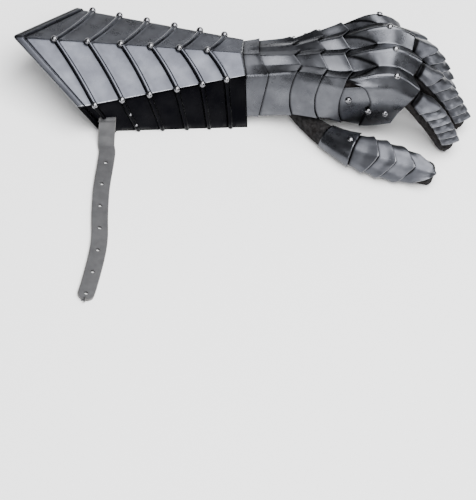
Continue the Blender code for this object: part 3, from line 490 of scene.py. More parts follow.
def grid_normals(grid, closed=False):
    """Outward normal of each point of a grid."""
    rows, columns = len(grid), len(grid[0])
    made = []
    for r in range(rows):
        row = []
        for c in range(columns):
            ahead = grid[min(r + 1, rows - 1)][c] - grid[max(r - 1, 0)][c]
            if closed:
                across = grid[r][(c + 1) % columns] - grid[r][c - 1]
            else:
                across = grid[r][min(c + 1, columns - 1)] - grid[r][max(c - 1, 0)]
            row.append(ahead.cross(across).normalized())
        made.append(row)
    return made


def plate(name, grid, thickness, stuff, wear_and_highlight=None, painted_shade=None, bevel=0.0004, even=True):
    """A sheet of steel or leather under a grid of points, with rounded rims."""
    rows, columns = len(grid), len(grid[0])
    points = [p for row in grid for p in row]
    values = [w for row in wear_and_highlight for w in row] if wear_and_highlight else None
    shades = [g for row in painted_shade for g in row] if painted_shade else None
    made = mesh_piece(name, points, grid_faces(rows, columns), stuff, values, shades)
    solidify = made.modifiers.new("thickness", "SOLIDIFY")
    solidify.thickness = thickness
    solidify.offset = -1
    solidify.use_even_offset = even
    if bevel:
        rounding = made.modifiers.new("rims", "BEVEL")
        rounding.width = bevel
        rounding.segments = 2
        rounding.limit_method = "ANGLE"
        rounding.angle_limit = math.radians(50)
    made.data.set_sharp_from_angle(angle=math.radians(60))
    return made


def rim_wear_and_highlight(grid):
    """Worn colour with a painted highlight on a grid's rims: 1 on its last row and its sides, and 0 further
    in than the set rim width.
    """
    made = []
    for row in grid:
        rims = [(row[0], row[-1], end) for end in grid[-1]]
        away = [min((p - q).length for q in near) for p, near in zip(row, rims)]
        made.append([max(0.0, 1 - distance / WEAR_AND_HIGHLIGHT_WIDTH) for distance in away])
    return made


def rounded_profile(points, softness, flat=3, bend=4):
    """A finer profile through 2-D or 3-D points, with each inner corner rounded by its softness."""
    made = [points[0]]
    count = len(points)
    leave = points[0]
    for i in range(1, count):
        soft = softness[i] if i < count - 1 else 0
        arrive = points[i].lerp(points[i - 1], soft)
        made += [leave.lerp(arrive, (k + 1) / flat) for k in range(flat)]
        if i == count - 1:
            break
        leave = points[i].lerp(points[i + 1], soft)
        for k in range(1, bend + 1):
            t = k / bend
            made.append(arrive * (1 - t) ** 2 + points[i] * (2 * t * (1 - t)) + leave * t**2)
    return made


def rides(piece, body="gauntlet", *nodes):
    """Let a piece move with a body and stand for CAD nodes."""
    if nodes:
        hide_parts(*nodes)
    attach(piece, body)
    return piece


def add_box(bm, low, high):
    """Add a box to a mesh by its lowest and highest corners."""
    low, high = Vector(low), Vector(high)
    made = bmesh.ops.create_cube(bm, size=1)
    for vert in made["verts"]:
        vert.co = Vector([a + (b - a) * (c + .5) for a, b, c in zip(low, high, vert.co)])


def carve(piece, cutters):
    """Cut the solids of a mesh out of a piece, and apply its modifiers."""
    cutter = baked("cutters", cutters)
    boolean = piece.modifiers.new("carved", "BOOLEAN")
    boolean.operation = "DIFFERENCE"
    boolean.solver = "EXACT"
    boolean.use_self = True
    boolean.object = cutter
    graph = bpy.context.evaluated_depsgraph_get()
    carved = bpy.data.meshes.new_from_object(piece.evaluated_get(graph))
    piece.modifiers.clear()
    piece.data = carved
    bpy.data.objects.remove(cutter)


def node_tree(name):
    """A new material, its tree and its shader."""
    made = bpy.data.materials.new(name)
    made.use_nodes = True
    return made, made.node_tree, made.node_tree.nodes["Principled BSDF"]


def add(tree, kind, **settings):
    """Add a node and set its properties."""
    made = tree.nodes.new(kind)
    for key, value in settings.items():
        setattr(made, key, value)
    return made


def noise_of(tree, scale, detail=4.0, rough=0.55, stretch=None):
    """A noise on the object's own coordinates, in cells per metre."""
    coords = add(tree, "ShaderNodeTexCoord")
    source = coords.outputs["Object"]
    if stretch:
        mapping = add(tree, "ShaderNodeMapping")
        mapping.inputs["Scale"].default_value = stretch
        tree.links.new(source, mapping.inputs["Vector"])
        source = mapping.outputs["Vector"]
    made = add(tree, "ShaderNodeTexNoise")
    made.inputs["Scale"].default_value = scale
    made.inputs["Detail"].default_value = detail
    made.inputs["Roughness"].default_value = rough
    tree.links.new(source, made.inputs["Vector"])
    return made.outputs["Fac"]


def ramp(tree, source, stops):
    """A colour ramp over a factor."""
    made = add(tree, "ShaderNodeValToRGB")
    while len(made.color_ramp.elements) < len(stops):
        made.color_ramp.elements.new(0.5)
    for element, (place, colour) in zip(made.color_ramp.elements, stops):
        element.position = place
        element.color = (*colour, 1)
    tree.links.new(source, made.inputs["Fac"])
    return made.outputs["Color"]


def spread(tree, source, low, high, start=0.3, end=0.7):
    """Map a factor to a range."""
    made = add(tree, "ShaderNodeMapRange")
    made.inputs["From Min"].default_value = start
    made.inputs["From Max"].default_value = end
    made.inputs["To Min"].default_value = low
    made.inputs["To Max"].default_value = high
    tree.links.new(source, made.inputs["Value"])
    return made.outputs["Result"]


def attribute(tree, name):
    """A value that the mesh keeps for each point."""
    return add(tree, "ShaderNodeAttribute", attribute_name=name).outputs["Fac"]


def stepped(tree, source, start, end):
    """A soft step of a factor."""
    made = add(tree, "ShaderNodeMapRange", interpolation_type="SMOOTHSTEP")
    made.inputs["From Min"].default_value = start
    made.inputs["From Max"].default_value = end
    tree.links.new(source, made.inputs["Value"])
    return made.outputs["Result"]


def mixed(tree, factor, under, over):
    """Lay a colour over the colour of a socket, by a factor."""
    made = add(tree, "ShaderNodeMix", data_type="RGBA")
    tree.links.new(factor, made.inputs[0])
    tree.links.new(under, made.inputs[6])
    made.inputs[7].default_value = (*over, 1)
    return made.outputs[2]


def bumped(tree, shader, height, strength, distance):
    """Bump a shader by a height."""
    made = add(tree, "ShaderNodeBump")
    made.inputs["Strength"].default_value = strength
    made.inputs["Distance"].default_value = distance
    tree.links.new(height, made.inputs["Height"])
    tree.links.new(made.outputs["Normal"], shader.inputs["Normal"])


# Colour of the painted shade in laps, grooves and creases
PAINTED_SHADE_COLOUR = (0.004, 0.004, 0.0045)


def steel(name, dark, light, rim, roughness, blotch=45.0, speckle=0.08):
    """Blackened steel: cloudy colour, brushed grain, bright rims that are worn and carry a painted
    highlight, and painted shade at laps, grooves and creases.
    """
    made, tree, shader = node_tree(name)
    clouds = ramp(tree, noise_of(tree, blotch, 6), ((0.32, dark), (0.68, light)))
    # Rims, ridges and rib crests take the rim colour: worn steel with a painted highlight, broken into
    # patches
    patchy_rims = add(tree, "ShaderNodeMath", operation="MULTIPLY")
    tree.links.new(attribute(tree, "wear_and_highlight"), patchy_rims.inputs[0])
    tree.links.new(spread(tree, noise_of(tree, 420, 3), 0.70, 1.15), patchy_rims.inputs[1])
    worn_and_lit = mixed(tree, stepped(tree, patchy_rims.outputs[0], 0.38, 0.80), clouds, rim)
    # Laps, grooves and creases take the painted shade
    tree.links.new(mixed(tree, attribute(tree, "painted_shade"), worn_and_lit, PAINTED_SHADE_COLOUR), shader.inputs["Base Color"])
    grain = noise_of(tree, 900, 3, 0.6, (0.35, 1.0, 1.0))
    tree.links.new(spread(tree, noise_of(tree, 70, 5), roughness - 0.07, roughness + 0.09),
                   shader.inputs["Roughness"])
    shader.inputs["Metallic"].default_value = 1
    bumped(tree, shader, grain, speckle, 0.0004)
    return made


def suede(name, dark, light, dust):
    """Suede: short nap with brown dust in soft patches."""
    made, tree, shader = node_tree(name)
    nap = ramp(tree, noise_of(tree, 260, 8, 0.7), ((0.35, dark), (0.66, light)))
    patches = spread(tree, noise_of(tree, 34, 5, 0.65), 0.0, 0.65, 0.45, 0.75)
    tree.links.new(mixed(tree, patches, nap, dust), shader.inputs["Base Color"])
    shader.inputs["Roughness"].default_value = 0.95
    shader.inputs["Specular IOR Level"].default_value = 0.05
    shader.inputs["Sheen Weight"].default_value = 0.05
    shader.inputs["Sheen Roughness"].default_value = 0.45
    shader.inputs["Sheen Tint"].default_value = (0.50, 0.49, 0.49, 1)
    bumped(tree, shader, noise_of(tree, 1500, 4, 0.7), 0.5, 0.0006)
    return made


def leather(name, dark, light, edge, roughness):
    """Smooth strap leather with fine pores and a paler cut edge."""
    made, tree, shader = node_tree(name)
    base = ramp(tree, noise_of(tree, 120, 6), ((0.3, dark), (0.7, light)))
    cut = stepped(tree, attribute(tree, "wear_and_highlight"), 0.55, 0.95)
    tree.links.new(mixed(tree, cut, base, edge), shader.inputs["Base Color"])
    tree.links.new(spread(tree, noise_of(tree, 160, 4), roughness - 0.08, roughness + 0.1),
                   shader.inputs["Roughness"])
    shader.inputs["Specular IOR Level"].default_value = 0.25
    pores = add(tree, "ShaderNodeTexVoronoi")
    pores.inputs["Scale"].default_value = 1400
    tree.links.new(add(tree, "ShaderNodeTexCoord").outputs["Object"], pores.inputs["Vector"])
    bumped(tree, shader, pores.outputs["Distance"], 0.22, 0.0003)
    return made


BLACK_PLATE = steel("blackened_plate", (0.048, 0.050, 0.060), (0.080, 0.084, 0.098), (0.32, 0.33, 0.35),
                    0.29)
# Near-black colour of the wings is painted shade: they face the floor and lie in shade
WING_SHADE_PLATE = steel("wing_painted_shade", (0.002, 0.002, 0.003), (0.006, 0.006, 0.007), (0.15, 0.15, 0.16), 0.30)
HAND_PLATE = steel("hand_plate", (0.062, 0.064, 0.072), (0.104, 0.107, 0.118), (0.075, 0.077, 0.085), 0.29)
SCALE_PLATE = steel("scale_plate", (0.060, 0.062, 0.071), (0.100, 0.103, 0.115), (0.24, 0.245, 0.26), 0.40)
BRIGHT = steel("bright_steel", (0.15, 0.15, 0.16), (0.20, 0.20, 0.21), (0.4, 0.4, 0.4), 0.15, 200.0, 0.0)
NICKEL = steel("nickel", (0.36, 0.35, 0.34), (0.44, 0.43, 0.42), (0.6, 0.6, 0.58), 0.20, 300.0, 0.02)
SUEDE = suede("black_suede", (0.0016, 0.0016, 0.0017), (0.0260, 0.0250, 0.0255), (0.0160, 0.0120, 0.0112))
STRAP = leather("strap_leather", (0.037, 0.037, 0.039), (0.056, 0.056, 0.059), (0.110, 0.106, 0.103), 0.50)


# Cuff: rounding of its corners as a share of a facet, bow of its ribs and seat of its studs
RIB_BOW = 0.0026
RIB_NARROW = 0.84
FACET_STEPS = 7
CORNER_STEPS = 4
CORNER_SOFT = 0.035
STUD_LOW = 0.30
STUD_GROW = 1.06
BORDER_LEAN = 1.7
WING_RIVET_RADIUS = 0.0014
WING_RIVET_PLACES = (.42, .72)
BALL_SIDES = 20
# Sections of the border and of a rib: places as shares of the width, then of the half width,
# each with its height as a share of the rise
BORDER_PROFILE = (
    (0, .2), (.03, .7), (.10, 1.05), (.20, 1.2), (.45, 1.15), (.75, 1.15), (.86, 1.2),
    (.97, .8), (1.03, .1), (1.10, -.6), (1.20, -.6), (1.3, -.1), (1.45, 0),
)
RIB_PROFILE = (
    (-1.5, -.10), (-1.25, -.16), (-1.1, -.2), (-1, .05), (-.88, .5), (-.68, .80), (-.42, 1.0),
    (-.12, 1.1), (.2, 1.08), (.5, .96), (.75, .7), (.92, .35), (1.0, .08), (1.12, 0),
)
RIB_APPROACH = 1.75
# Bright wear with a painted highlight on the corners, the ridge and, as a share, what lies on the wings
CORNER_WEAR_AND_HIGHLIGHT = 0.85
RIDGE_WEAR_AND_HIGHLIGHT = 0.40
WING_WEAR_AND_HIGHLIGHT = 0.15
WING_EDGE = 0.03
# A box below the floor, which takes off what reaches into it
BELOW_FLOOR = ((-.4, -.3, -.1), (.4, .3, 0))


def chevron(ridge, corner):
    """Places on the cuff's five lines of a chevron through its ridge and corners."""
    share = (corner - CUFF_POINT) / (CUFF_LENGTH - CUFF_POINT)
    edge = corner + (WING_SLANT + share * (WING_WRIST_SLANT - WING_SLANT)) * (1 + WING_SPARE)
    return (edge, corner, ridge, corner, edge)


def peak(x, centre, half, top=1.0):
    """A value that falls evenly on both sides of a centre, by 1 in each half."""
    return top - abs(x - centre) / half


def between(start, end, t):
    """A pair of places between two others."""
    return tuple(a + (b - a) * t for a, b in zip(start, end))


def cuff_stations():
    """Chevrons of the cuff from its pointed end, each with its lift, wear with painted highlight, painted
    shade and bow.
    """
    made = []
    for step, lift in BORDER_PROFILE:
        # Worn colour with painted highlight on the rolled rim and the border's inner shoulder; painted
        # shade over the border's top and in the groove inside it
        worn_and_lit = max(0, peak(step, 0, .25), peak(step, .93, .12, .75))
        shade_value = max(0, peak(step, 1.18, .19, .85), min(.75, peak(step, .40, .25, 1.9)))
        across = BORDER_WIDTH * step
        made.append((across * BORDER_LEAN, CUFF_POINT + across, lift * BORDER_RISE, worn_and_lit, shade_value, 0))
    previous = made[-1][:2]
    for ridge, corner in RIBS:
        middle = ridge * CUFF_LENGTH, corner_x(corner)
        half = RIB_WIDTH / 2 * RIB_NARROW
        start = tuple(place - half * RIB_APPROACH for place in middle)
        for k in range(1, 6):
            t = k / 5
            # Painted shade darkens the flat towards the feet of the ribs on both sides
            made.append((*between(previous, start, t), 0, 0, 1.2 * (t - .5) ** 2, t))
        for s, lift in RIB_PROFILE:
            # Worn colour with a painted highlight along the rib's crest; painted shade in the groove on its
            # pointed-end side and at its wrist-side foot
            worn_and_lit = max(0, peak(s, .05, .34)) * .72
            shade_value = max(0, peak(s, -1.08, .42), peak(s, 1.0, .25, .55))
            previous = tuple(place + half * s for place in middle)
            made.append((*previous, lift * RIB_RISE, worn_and_lit, shade_value, 1))
    end = CUFF_LENGTH + CUFF_WRIST_EDGE[2], CUFF_LENGTH + CUFF_WRIST_EDGE[1]
    for k in range(1, 9):
        t = k / 8
        made.append((*between(previous, end, t), 0, max(0, (t - .965) / .035), 0, 1 - t))
    return made


def facet_of(k, count):
    """Which facet a column lies on, as a share of the cuff's four."""
    return 4 * k / (count - 1)


def cuff_row(ridge, corner, bow):
    """Points over the cuff along one chevron, with soft corners."""
    lines = []
    for i, x in enumerate(chevron(ridge, corner)):
        spot = cuff_line(i, x)
        if i in (0, 4):
            inner = cuff_line(1 if i == 0 else 3, x)
            spot = spot.lerp(inner, WING_SPARE / (1 + WING_SPARE))
            x -= (x - corner) * WING_SPARE / (1 + WING_SPARE)
        lines.append(at(x, spot.x, spot.y))
    row = rounded_profile(lines, (0, CORNER_SOFT, CORNER_SOFT, CORNER_SOFT, 0), FACET_STEPS, CORNER_STEPS)
    for k, p in enumerate(row):
        facet = facet_of(k, len(row))
        if 1 <= facet <= 3:
            p.x += RIB_BOW * math.sin(math.pi * (facet - int(facet))) * bow
    return row


def make_cuff():
    """The forearm plate: a rolled border, bowed ribs, soft facets and wings painted near black for their
    shade.
    """
    grid, lifts, wear_and_highlight, painted_shade = [], [], [], []
    for ridge, corner, lift, worn_and_lit, shade_value, bow in cuff_stations():
        row = cuff_row(ridge, corner, bow)
        grid.append(row)
        lifts.append(lift)
        worn_and_lit_row = []
        for k in range(len(row)):
            f = facet_of(k, len(row))
            # Corners and the ridge take worn colour with a painted highlight line
            corners = peak(f, 1, .02, CORNER_WEAR_AND_HIGHLIGHT), peak(f, 3, .02, CORNER_WEAR_AND_HIGHLIGHT)
            on_wing = f < 1 - WING_EDGE or f > 3 + WING_EDGE
            along = worn_and_lit * WING_WEAR_AND_HIGHLIGHT if on_wing else worn_and_lit
            worn_and_lit_row.append(max(0, along, *corners, peak(f, 2, .03, RIDGE_WEAR_AND_HIGHLIGHT)))
        wear_and_highlight.append(worn_and_lit_row)
        # The station's painted shade runs across the whole chevron
        painted_shade.append([shade_value] * len(row))
    raised = [[p + n * lift for p, n in zip(row, normals)]
              for row, normals, lift in zip(grid, grid_normals(grid), lifts)]
    made = plate("cuff_plate_dressed", raised, STEEL, BLACK_PLATE, wear_and_highlight, painted_shade, bevel=0)
    # Wing faces take the near-black material that paints their shade
    made.data.materials.append(WING_SHADE_PLATE)
    count = len(raised[0])
    for face in made.data.polygons:
        if not 1 <= facet_of(face.index % (count - 1) + .5, count) <= 3:
            face.material_index = 1
    cutters = bmesh.new()
    high = SLOT_HEIGHT + STRAP_THICKNESS * 1.7
    low = SLOT_HEIGHT - STRAP_THICKNESS / 2 - SLOT_PLAY * 1.5
    half = STRAP_WIDTH / 2 + SLOT_PLAY
    add_box(cutters, at(STRAP_X - half, .1, low), at(STRAP_X + half, .05, high))
    add_box(cutters, *BELOW_FLOOR)
    carve(made, cutters)
    rides(made, "gauntlet", "cuff_plate")
    make_studs()


def make_studs():
    """The ball studs on the ribs' ends, and the small rivets of the wings."""
    studs = []
    for ridge, corner in RIBS:
        for column, x in ((1, corner_x(corner)), (2, ridge * CUFF_LENGTH), (3, corner_x(corner))):
            line = [cuff_line(i, x) for i in range(5)]
            spot = offset_point(line, column, RIB_RISE * STUD_LOW)
            studs.append(at(x, spot.x, spot.y))
    rides(balls("cuff_studs", studs, STUD_RADIUS * STUD_GROW, BRIGHT))
    small = []
    for side, inner, away in ((0, 1, 1), (4, 3, -1)):
        for down in WING_RIVET_PLACES:
            x = corner_x(RIBS[1][1]) + WING_SLANT * down
            spot = cuff_line(inner, x).lerp(cuff_line(side, x), down)
            small.append(at(x, spot.x + away * RIB_RISE * .9, spot.y))
    rides(balls("wing_rivet_heads", small, WING_RIVET_RADIUS, BRIGHT))


def balls(name, centres, radius, stuff):
    """One piece of small balls."""
    bm = bmesh.new()
    for centre in centres:
        bmesh.ops.create_uvsphere(bm, u_segments=BALL_SIDES, v_segments=BALL_SIDES // 2 + 2,
                                  radius=radius, matrix=Matrix.Translation(centre))
    return baked(name, bm, stuff, smooth=True)


# Hand plates: rounding of each column, steps from the hidden lap to the edge, and the painted shadow line
# past the edge before it. A valley of the knuckle plate ends in a leaf, drawn by a painted shade outline.
FLUTE_SOFT = (0, .35, .30, .25, .15, .06, .15, .06, .15, .06, .15, .25, .30, .35, 0)
LAME_STEPS = (0, .5, 1, 1.03, 1.06, 1.12, 1.25, 1.4, 1.55, 1.7, 1.8, 1.88, 1.93, 1.97, 2)
LINE_WIDTH = 0.0026
EDGE_ROLL = 0.0004
RIM_ROUND = 0.0003
VALLEYS = (5, 7, 9)
PANEL_LINE = 0.0014
LEAF_START = 0.43
LEAF_TIP = 0.575
LEAF_HALF = 0.95
LEAF_FLAT = 14
LEAF_LINE = 0.07
LEAF_SHADE = 0.45
KNUCKLE_ROWS = 52


def fine_row(place, lift, columns, flat=2):
    """A fine profile of a hand section whose place and lift are given for each column."""
    points = []
    for i in columns:
        moved = offset_point(section(place[i]), i, lift[i])
        points.append(at(hand_x(place[i]), moved.x, moved.y))
    return rounded_profile(points, [FLUTE_SOFT[i] for i in columns], flat)


def lap_painted_shade(grid, steps, seam):
    """Painted shade of a grid: dark up to the row where the plate before it ends, and a thin painted shadow
    line past it.
    """
    edge = steps.index(seam)
    made = []
    for r, row in enumerate(grid):
        past = [(p - q).length / LINE_WIDTH if r > edge else 0 for p, q in zip(row, grid[edge])]
        made.append([max(0.0, min(1.0, 1.6 - 1.6 * share)) for share in past])
    return made


def leaf_painted_shade(place, column):
    """Painted shade: dark outline in the creases and shaded sides of the leaf that ends each valley of the
    knuckle plate.
    """
    share = (place - LEAF_START) / (LEAF_TIP - LEAF_START)
    away = min(abs(column - valley) for valley in VALLEYS)
    if share > 1:
        return 0
    half = LEAF_HALF * (1 - max(0, share) ** 1.5)
    line = min(1, peak(away, half, LEAF_LINE, 1.9))
    shaded = .7 * min(1, 3 * share) * peak(away, half, LEAF_SHADE) if away > half else 0
    return max(0, line, shaded)


def dress_lame(name, before, edge, columns=range(len(COLUMNS)), tuck=TUCK, low=0.0):
    """A lame with rounded flutes, and an edge rolled a little outwards."""
    lap = LAP / HAND_LENGTH
    grid = []
    for step in LAME_STEPS:
        place, lift = {}, {}
        for i, start, end in zip(columns, before, edge):
            ahead = max(0, step - 1)
            place[i] = start - lap * (1 - step) if step < 1 else start + ahead * (end - start)
            share = (place[i] - start) / (end - start)
            lift[i] = -low - tuck * (1 - share) + EDGE_ROLL * max(0, share - .8) / .2
        grid.append(fine_row(place, lift, columns))
    hand_plate(name, grid, lap_painted_shade(grid, LAME_STEPS, 1))


def hand_plate(name, grid, painted_shade):
    """A plate of the hand through a grid of points, in place of its node."""
    made = plate(name + "_dressed", grid, STEEL, HAND_PLATE, rim_wear_and_highlight(grid), painted_shade, bevel=RIM_ROUND)
    rides(made, "gauntlet", name)


def dress_knuckle_plate():
    """The knuckle plate, with its flutes, bosses and side panels."""
    lap = LAP / HAND_LENGTH
    steps = [-1, -.5, 0, .012, .03, .06, .1] + [
        .1 + .9 * k / KNUCKLE_ROWS for k in range(1, KNUCKLE_ROWS)] + [.985, 1]
    grid = []
    columns = list(range(len(COLUMNS)))
    for step in steps:
        place, lift = {}, {}
        for i, end in enumerate(KNUCKLE_EDGE):
            own = KNUCKLE_START[i]
            before = HAND_EDGE_3[i] if own is None else own + lap
            place[i] = before + lap * step if step < 0 else before + step * (end - before)
            rise = 1 if own is not None else min(1, max(0, (place[i] - before) / KNUCKLE_RAMP))
            lift[i] = -TUCK * (1 - rise)
        grid.append(fine_row(place, lift, columns, LEAF_FLAT))
    numbers = [Vector((i, 0)) for i in columns]
    spots = [p.x for p in rounded_profile(numbers, FLUTE_SOFT, LEAF_FLAT)]
    panels = [KNUCKLE_START[round(spot)] is not None for spot in spots]
    painted_shade = lap_painted_shade(grid, steps, 0)
    # Side panels get a painted shadow line along their rear edge; elsewhere the leaves' painted shade is
    # added
    for r, row in enumerate(painted_shade):
        for c, spot in enumerate(spots):
            place = (grid[r][c].x + ORIGIN.x - CUFF_LENGTH) / HAND_LENGTH
            start = 1.5 - (grid[r][c] - grid[0][c]).length / PANEL_LINE
            row[c] = min(1, max(0, start)) if panels[c] else max(row[c], leaf_painted_shade(place, spot))
    hand_plate("knuckle_plate", grid, painted_shade)


def dress_plates():
    """All plates of the wrist and the hand."""
    edges = CUFF_EDGE, WRIST_EDGE, HAND_EDGE_1, HAND_EDGE_2, HAND_EDGE_3
    names = "wrist_lame_1", "wrist_lame_2", "hand_lame_1", "hand_lame_2"
    for name, before, edge in zip(names, edges, edges[1:]):
        dress_lame(name, before, edge)
    dress_knuckle_plate()
    for name, columns, edge in (("thumb", range(4), SIDE_THUMB_EDGE),
                                ("little", range(11, 15), SIDE_LITTLE_EDGE)):
        before = [HAND_EDGE_3[i] for i in columns]
        dress_lame("side_lame_" + name, before, edge, columns, tuck=GAP, low=TUCK)


# Scales: angles round a digit, steps from the hidden lap to the point, and the flare of the point
FINE_ANGLES = tuple(-70 + 140 * k / 20 for k in range(21))
FINE_THUMB = tuple(-85 + 170 * k / 24 for k in range(25))
SCALE_STEPS = (0, .6, 1, 1.05, 1.11, 1.2, 1.35, 1.5, 1.65, 1.8, 1.9, 1.96, 2)
RIDGE_LINE = 7
TIP_REACH = 0.020
LAST_POINT = 1.5
SCALE_FLARE = 0.0012
TIP_FLARE = 0.0016
THUMB_TAPER = 0.30
# Small rivets on the little finger's side: share of HAND_LENGTH and column
SIDE_RIVETS = ((.235, 10.6), (.345, 10.9), (.285, 10.7))
SIDE_RIVET_RADIUS = 0.0017
SIDE_RIVET_RISE = 0.0012
# Points round a rivet's head, and rings up to its top
CAP_SIDES = 24
CAP_RINGS = 8


def dress_scale(rows, before, after, angles, lists, back, points_by=(0, 0), wave=0, taper=0):
    """Add one scale, whose two ends have their own points, to a digit's lists."""
    points, faces, wear_and_highlight, painted_shade = lists
    length = digit_length(rows)
    lap = SCALE_LAP / length
    reach = max(abs(a) for a in angles)
    base = len(points)
    along, centre = digit_frame(rows, 1, back)[0], digit_place(rows, 1)[0]
    grid = []
    for step in SCALE_STEPS:
        row = []
        ahead = max(0, step - 1)
        for angle in angles:
            side = abs(angle) / reach
            shape = 1 - side ** 1.1 + wave * math.sin(side * math.pi * 2)
            start = before + points_by[0] / length * shape
            end = after + points_by[1] / length * shape
            place = start - lap * (1 - step) if step < 1 else start + ahead * (end - start)
            rise = (place - start) / (end - start)
            lift = SCALE_LOW + (SCALE_HIGH - SCALE_LOW) * rise
            lift += SCALE_RIDGE * max(0, 1 - abs(angle) / RIDGE_ANGLE) * (.8 + .4 * ahead)
            flare = SCALE_FLARE + TIP_FLARE * max(0, 1 - abs(angle) / RIDGE_ANGLE)
            lift += flare * max(0, ahead - .6) / .4
            spot = digit_point(rows, min(place, 1), angle * (1 - taper * ahead ** 2), lift, back)
            over = max(0, place - 1) * length
            row.append(spot.lerp(centre, over / TIP_REACH) + along * over)
        grid.append(row)
    points += [p for row in grid for p in row]
    faces += [tuple(base + i for i in face) for face in grid_faces(len(grid), len(angles))]
    # Rims and a line along the ridge take worn colour with a painted highlight; the hidden lap and a thin
    # line past the scale before take painted shade
    for row in rim_wear_and_highlight(grid):
        wear_and_highlight += [max(value, .5 - abs(angle) / RIDGE_LINE) for value, angle in zip(row, angles)]
    painted_shade += [value for row in lap_painted_shade(grid, SCALE_STEPS, 1) for value in row]


def dress_digit(name, count, start, rows, back, angles, point, seed, taper=0.0):
    """The scales of a digit as one piece, which stands for all of their nodes."""
    pitch = (1 - start - SCALE_POINT / digit_length(rows)) / count
    lists = [], [], [], []
    chance = random.Random(seed)
    for i in range(count):
        before = start + i * pitch
        last = taper and i == count - 1
        points_by = (point if i else 0, point * LAST_POINT if last else point)
        dress_scale(rows, before, before + pitch, angles, lists, back, points_by,
                    chance.uniform(-.06, .08), taper if last else 0)
    points, faces, wear_and_highlight, painted_shade = lists
    made = mesh_piece(name + "_scales", points, faces, SCALE_PLATE, wear_and_highlight, painted_shade)
    finish_scales(made)
    rides(made, "gauntlet", *[f"{name}_scale_{i + 1}" for i in range(count)])


def finish_scales(made):
    """Give scales their thickness and soft rims."""
    solidify = made.modifiers.new("thickness", "SOLIDIFY")
    solidify.thickness = SCALE_STEEL
    solidify.offset = -1
    made.data.set_sharp_from_angle(angle=math.radians(38))


def dress_scales():
    """The scales of all digits, and the thumb's base plate."""
    up = Vector((0, 0, 1))
    for seed, (name, count, start, rows) in enumerate(FINGERS):
        dress_digit(name, count, start, rows, up, FINE_ANGLES, SCALE_POINT, seed)
    name, count, start, rows = THUMB
    dress_digit(name, count, start, rows, THUMB_BACK, FINE_THUMB, THUMB_POINT, 9, THUMB_TAPER)
    lists = [], [], [], []
    dress_scale(rows, THUMB_BASE_START, start, FINE_THUMB, lists, THUMB_BACK)
    points, faces, wear_and_highlight, _ = lists
    base = mesh_piece("thumb_base_plate_dressed", points, faces, HAND_PLATE, wear_and_highlight)
    finish_scales(base)
    rides(base, "gauntlet", "thumb_base_plate")


def cap(bm, centre, normal, radius, rise):
    """Add a domed rivet head to a mesh."""
    turn = Vector((0, 0, 1)).rotation_difference(normal)
    rows = []
    for k in range(CAP_RINGS):
        angle = k / CAP_RINGS * math.pi / 2
        around, height = radius * math.cos(angle), rise * math.sin(angle)
        ring = []
        for j in range(CAP_SIDES):
            a = 2 * math.pi * j / CAP_SIDES
            spot = Vector((around * math.cos(a), around * math.sin(a), height))
            ring.append(bm.verts.new(centre + turn @ spot))
        rows.append(ring)
    rows.append([bm.verts.new(centre + turn @ Vector((0, 0, rise)))])
    for a, b in zip(rows, rows[1:]):
        for j in range(CAP_SIDES):
            after = (j + 1) % CAP_SIDES
            if len(b) == 1:
                bm.faces.new((a[j], a[after], b[0]))
            else:
                bm.faces.new((a[j], a[after], b[after], b[j]))
    bm.faces.new(tuple(reversed(rows[0])))


def heads(name, places, stuff, *nodes):
    """One piece of rivet heads, each given by its centre, normal, radius and rise."""
    bm = bmesh.new()
    for centre, normal, radius, rise in places:
        cap(bm, centre + normal * RIVET_SEAT, normal, radius, rise)
    made = baked(name, bm, stuff, smooth=True)
    made.data.set_sharp_from_angle(angle=math.radians(50))
    return rides(made, "gauntlet", *nodes)


def seated(share, column, lift):
    """Place and normal of a rivet on the rounded flutes."""
    here, normal = skin(share, column, lift)
    count = len(COLUMNS)
    row = fine_row([share] * count, [lift] * count, range(count))
    near = min(row, key=lambda p: (p - here).length)
    return here - normal * max(0, (here - near).dot(normal)), normal


def dress_rivets():
    """All the rivet heads."""
    places = []
    for _, share, column, depth in PLATE_RIVETS:
        places.append((*seated(share, column, -depth), RIVET_RADIUS, RIVET_RISE))
    heads("plate_rivet_heads", places, BRIGHT, *[row[0] for row in PLATE_RIVETS])
    _, _, _, rows = THUMB
    share, angle = THUMB_RIVET
    spot = digit_point(rows, share, angle, SCALE_HIGH, THUMB_BACK)
    along = digit_frame(rows, share, THUMB_BACK)[0]
    out = spot - digit_place(rows, share)[0]
    out -= along * out.dot(along)
    thumb = spot, out.normalized(), RIVET_RADIUS, RIVET_RISE
    heads("thumb_rivet_head", [thumb], BRIGHT, "thumb_rivet")
    small = [(*seated(*place, -RIVET_SEAT), SIDE_RIVET_RADIUS, SIDE_RIVET_RISE) for place in SIDE_RIVETS]
    heads("little_side_rivet_heads", small, BRIGHT)


# Glove: points round each tube, and rings along it
FINGER_SIDES = 48
FINGER_RINGS = 40
HAND_SIDES = 96
HAND_RINGS = 44
CUFF_RINGS = 56
# Rings past a finger's last one: its share, and how far ahead as a share of the half width
TIP_RINGS = ((.97, .14), (.90, .30), (.78, .44), (.60, .55), (.36, .61), (.12, .63))
THUMB_TIP = 0.72
# Side seams of the fingers and of the cuff, and the cuff's turned hem with its row of stitches
SEAM_RISE = 0.0008
SEAM_DIP = 0.0004
CUFF_SEAM_RISE = 0.0009
HEM_WIDTH = 0.07
HEM_RISE = 0.0007
STITCH_PLACE = 0.085
STITCH_WIDTH = 0.012
STITCH_DIP = 0.0005


def crumpled(point, amount, scale):
    """A small soft displacement of suede at a point."""
    broad = noise.noise(point * scale)
    fine = noise.noise(point * scale * 2.7 + Vector((3.1, 1.7, 9.2)))
    return amount * (broad + .45 * fine)


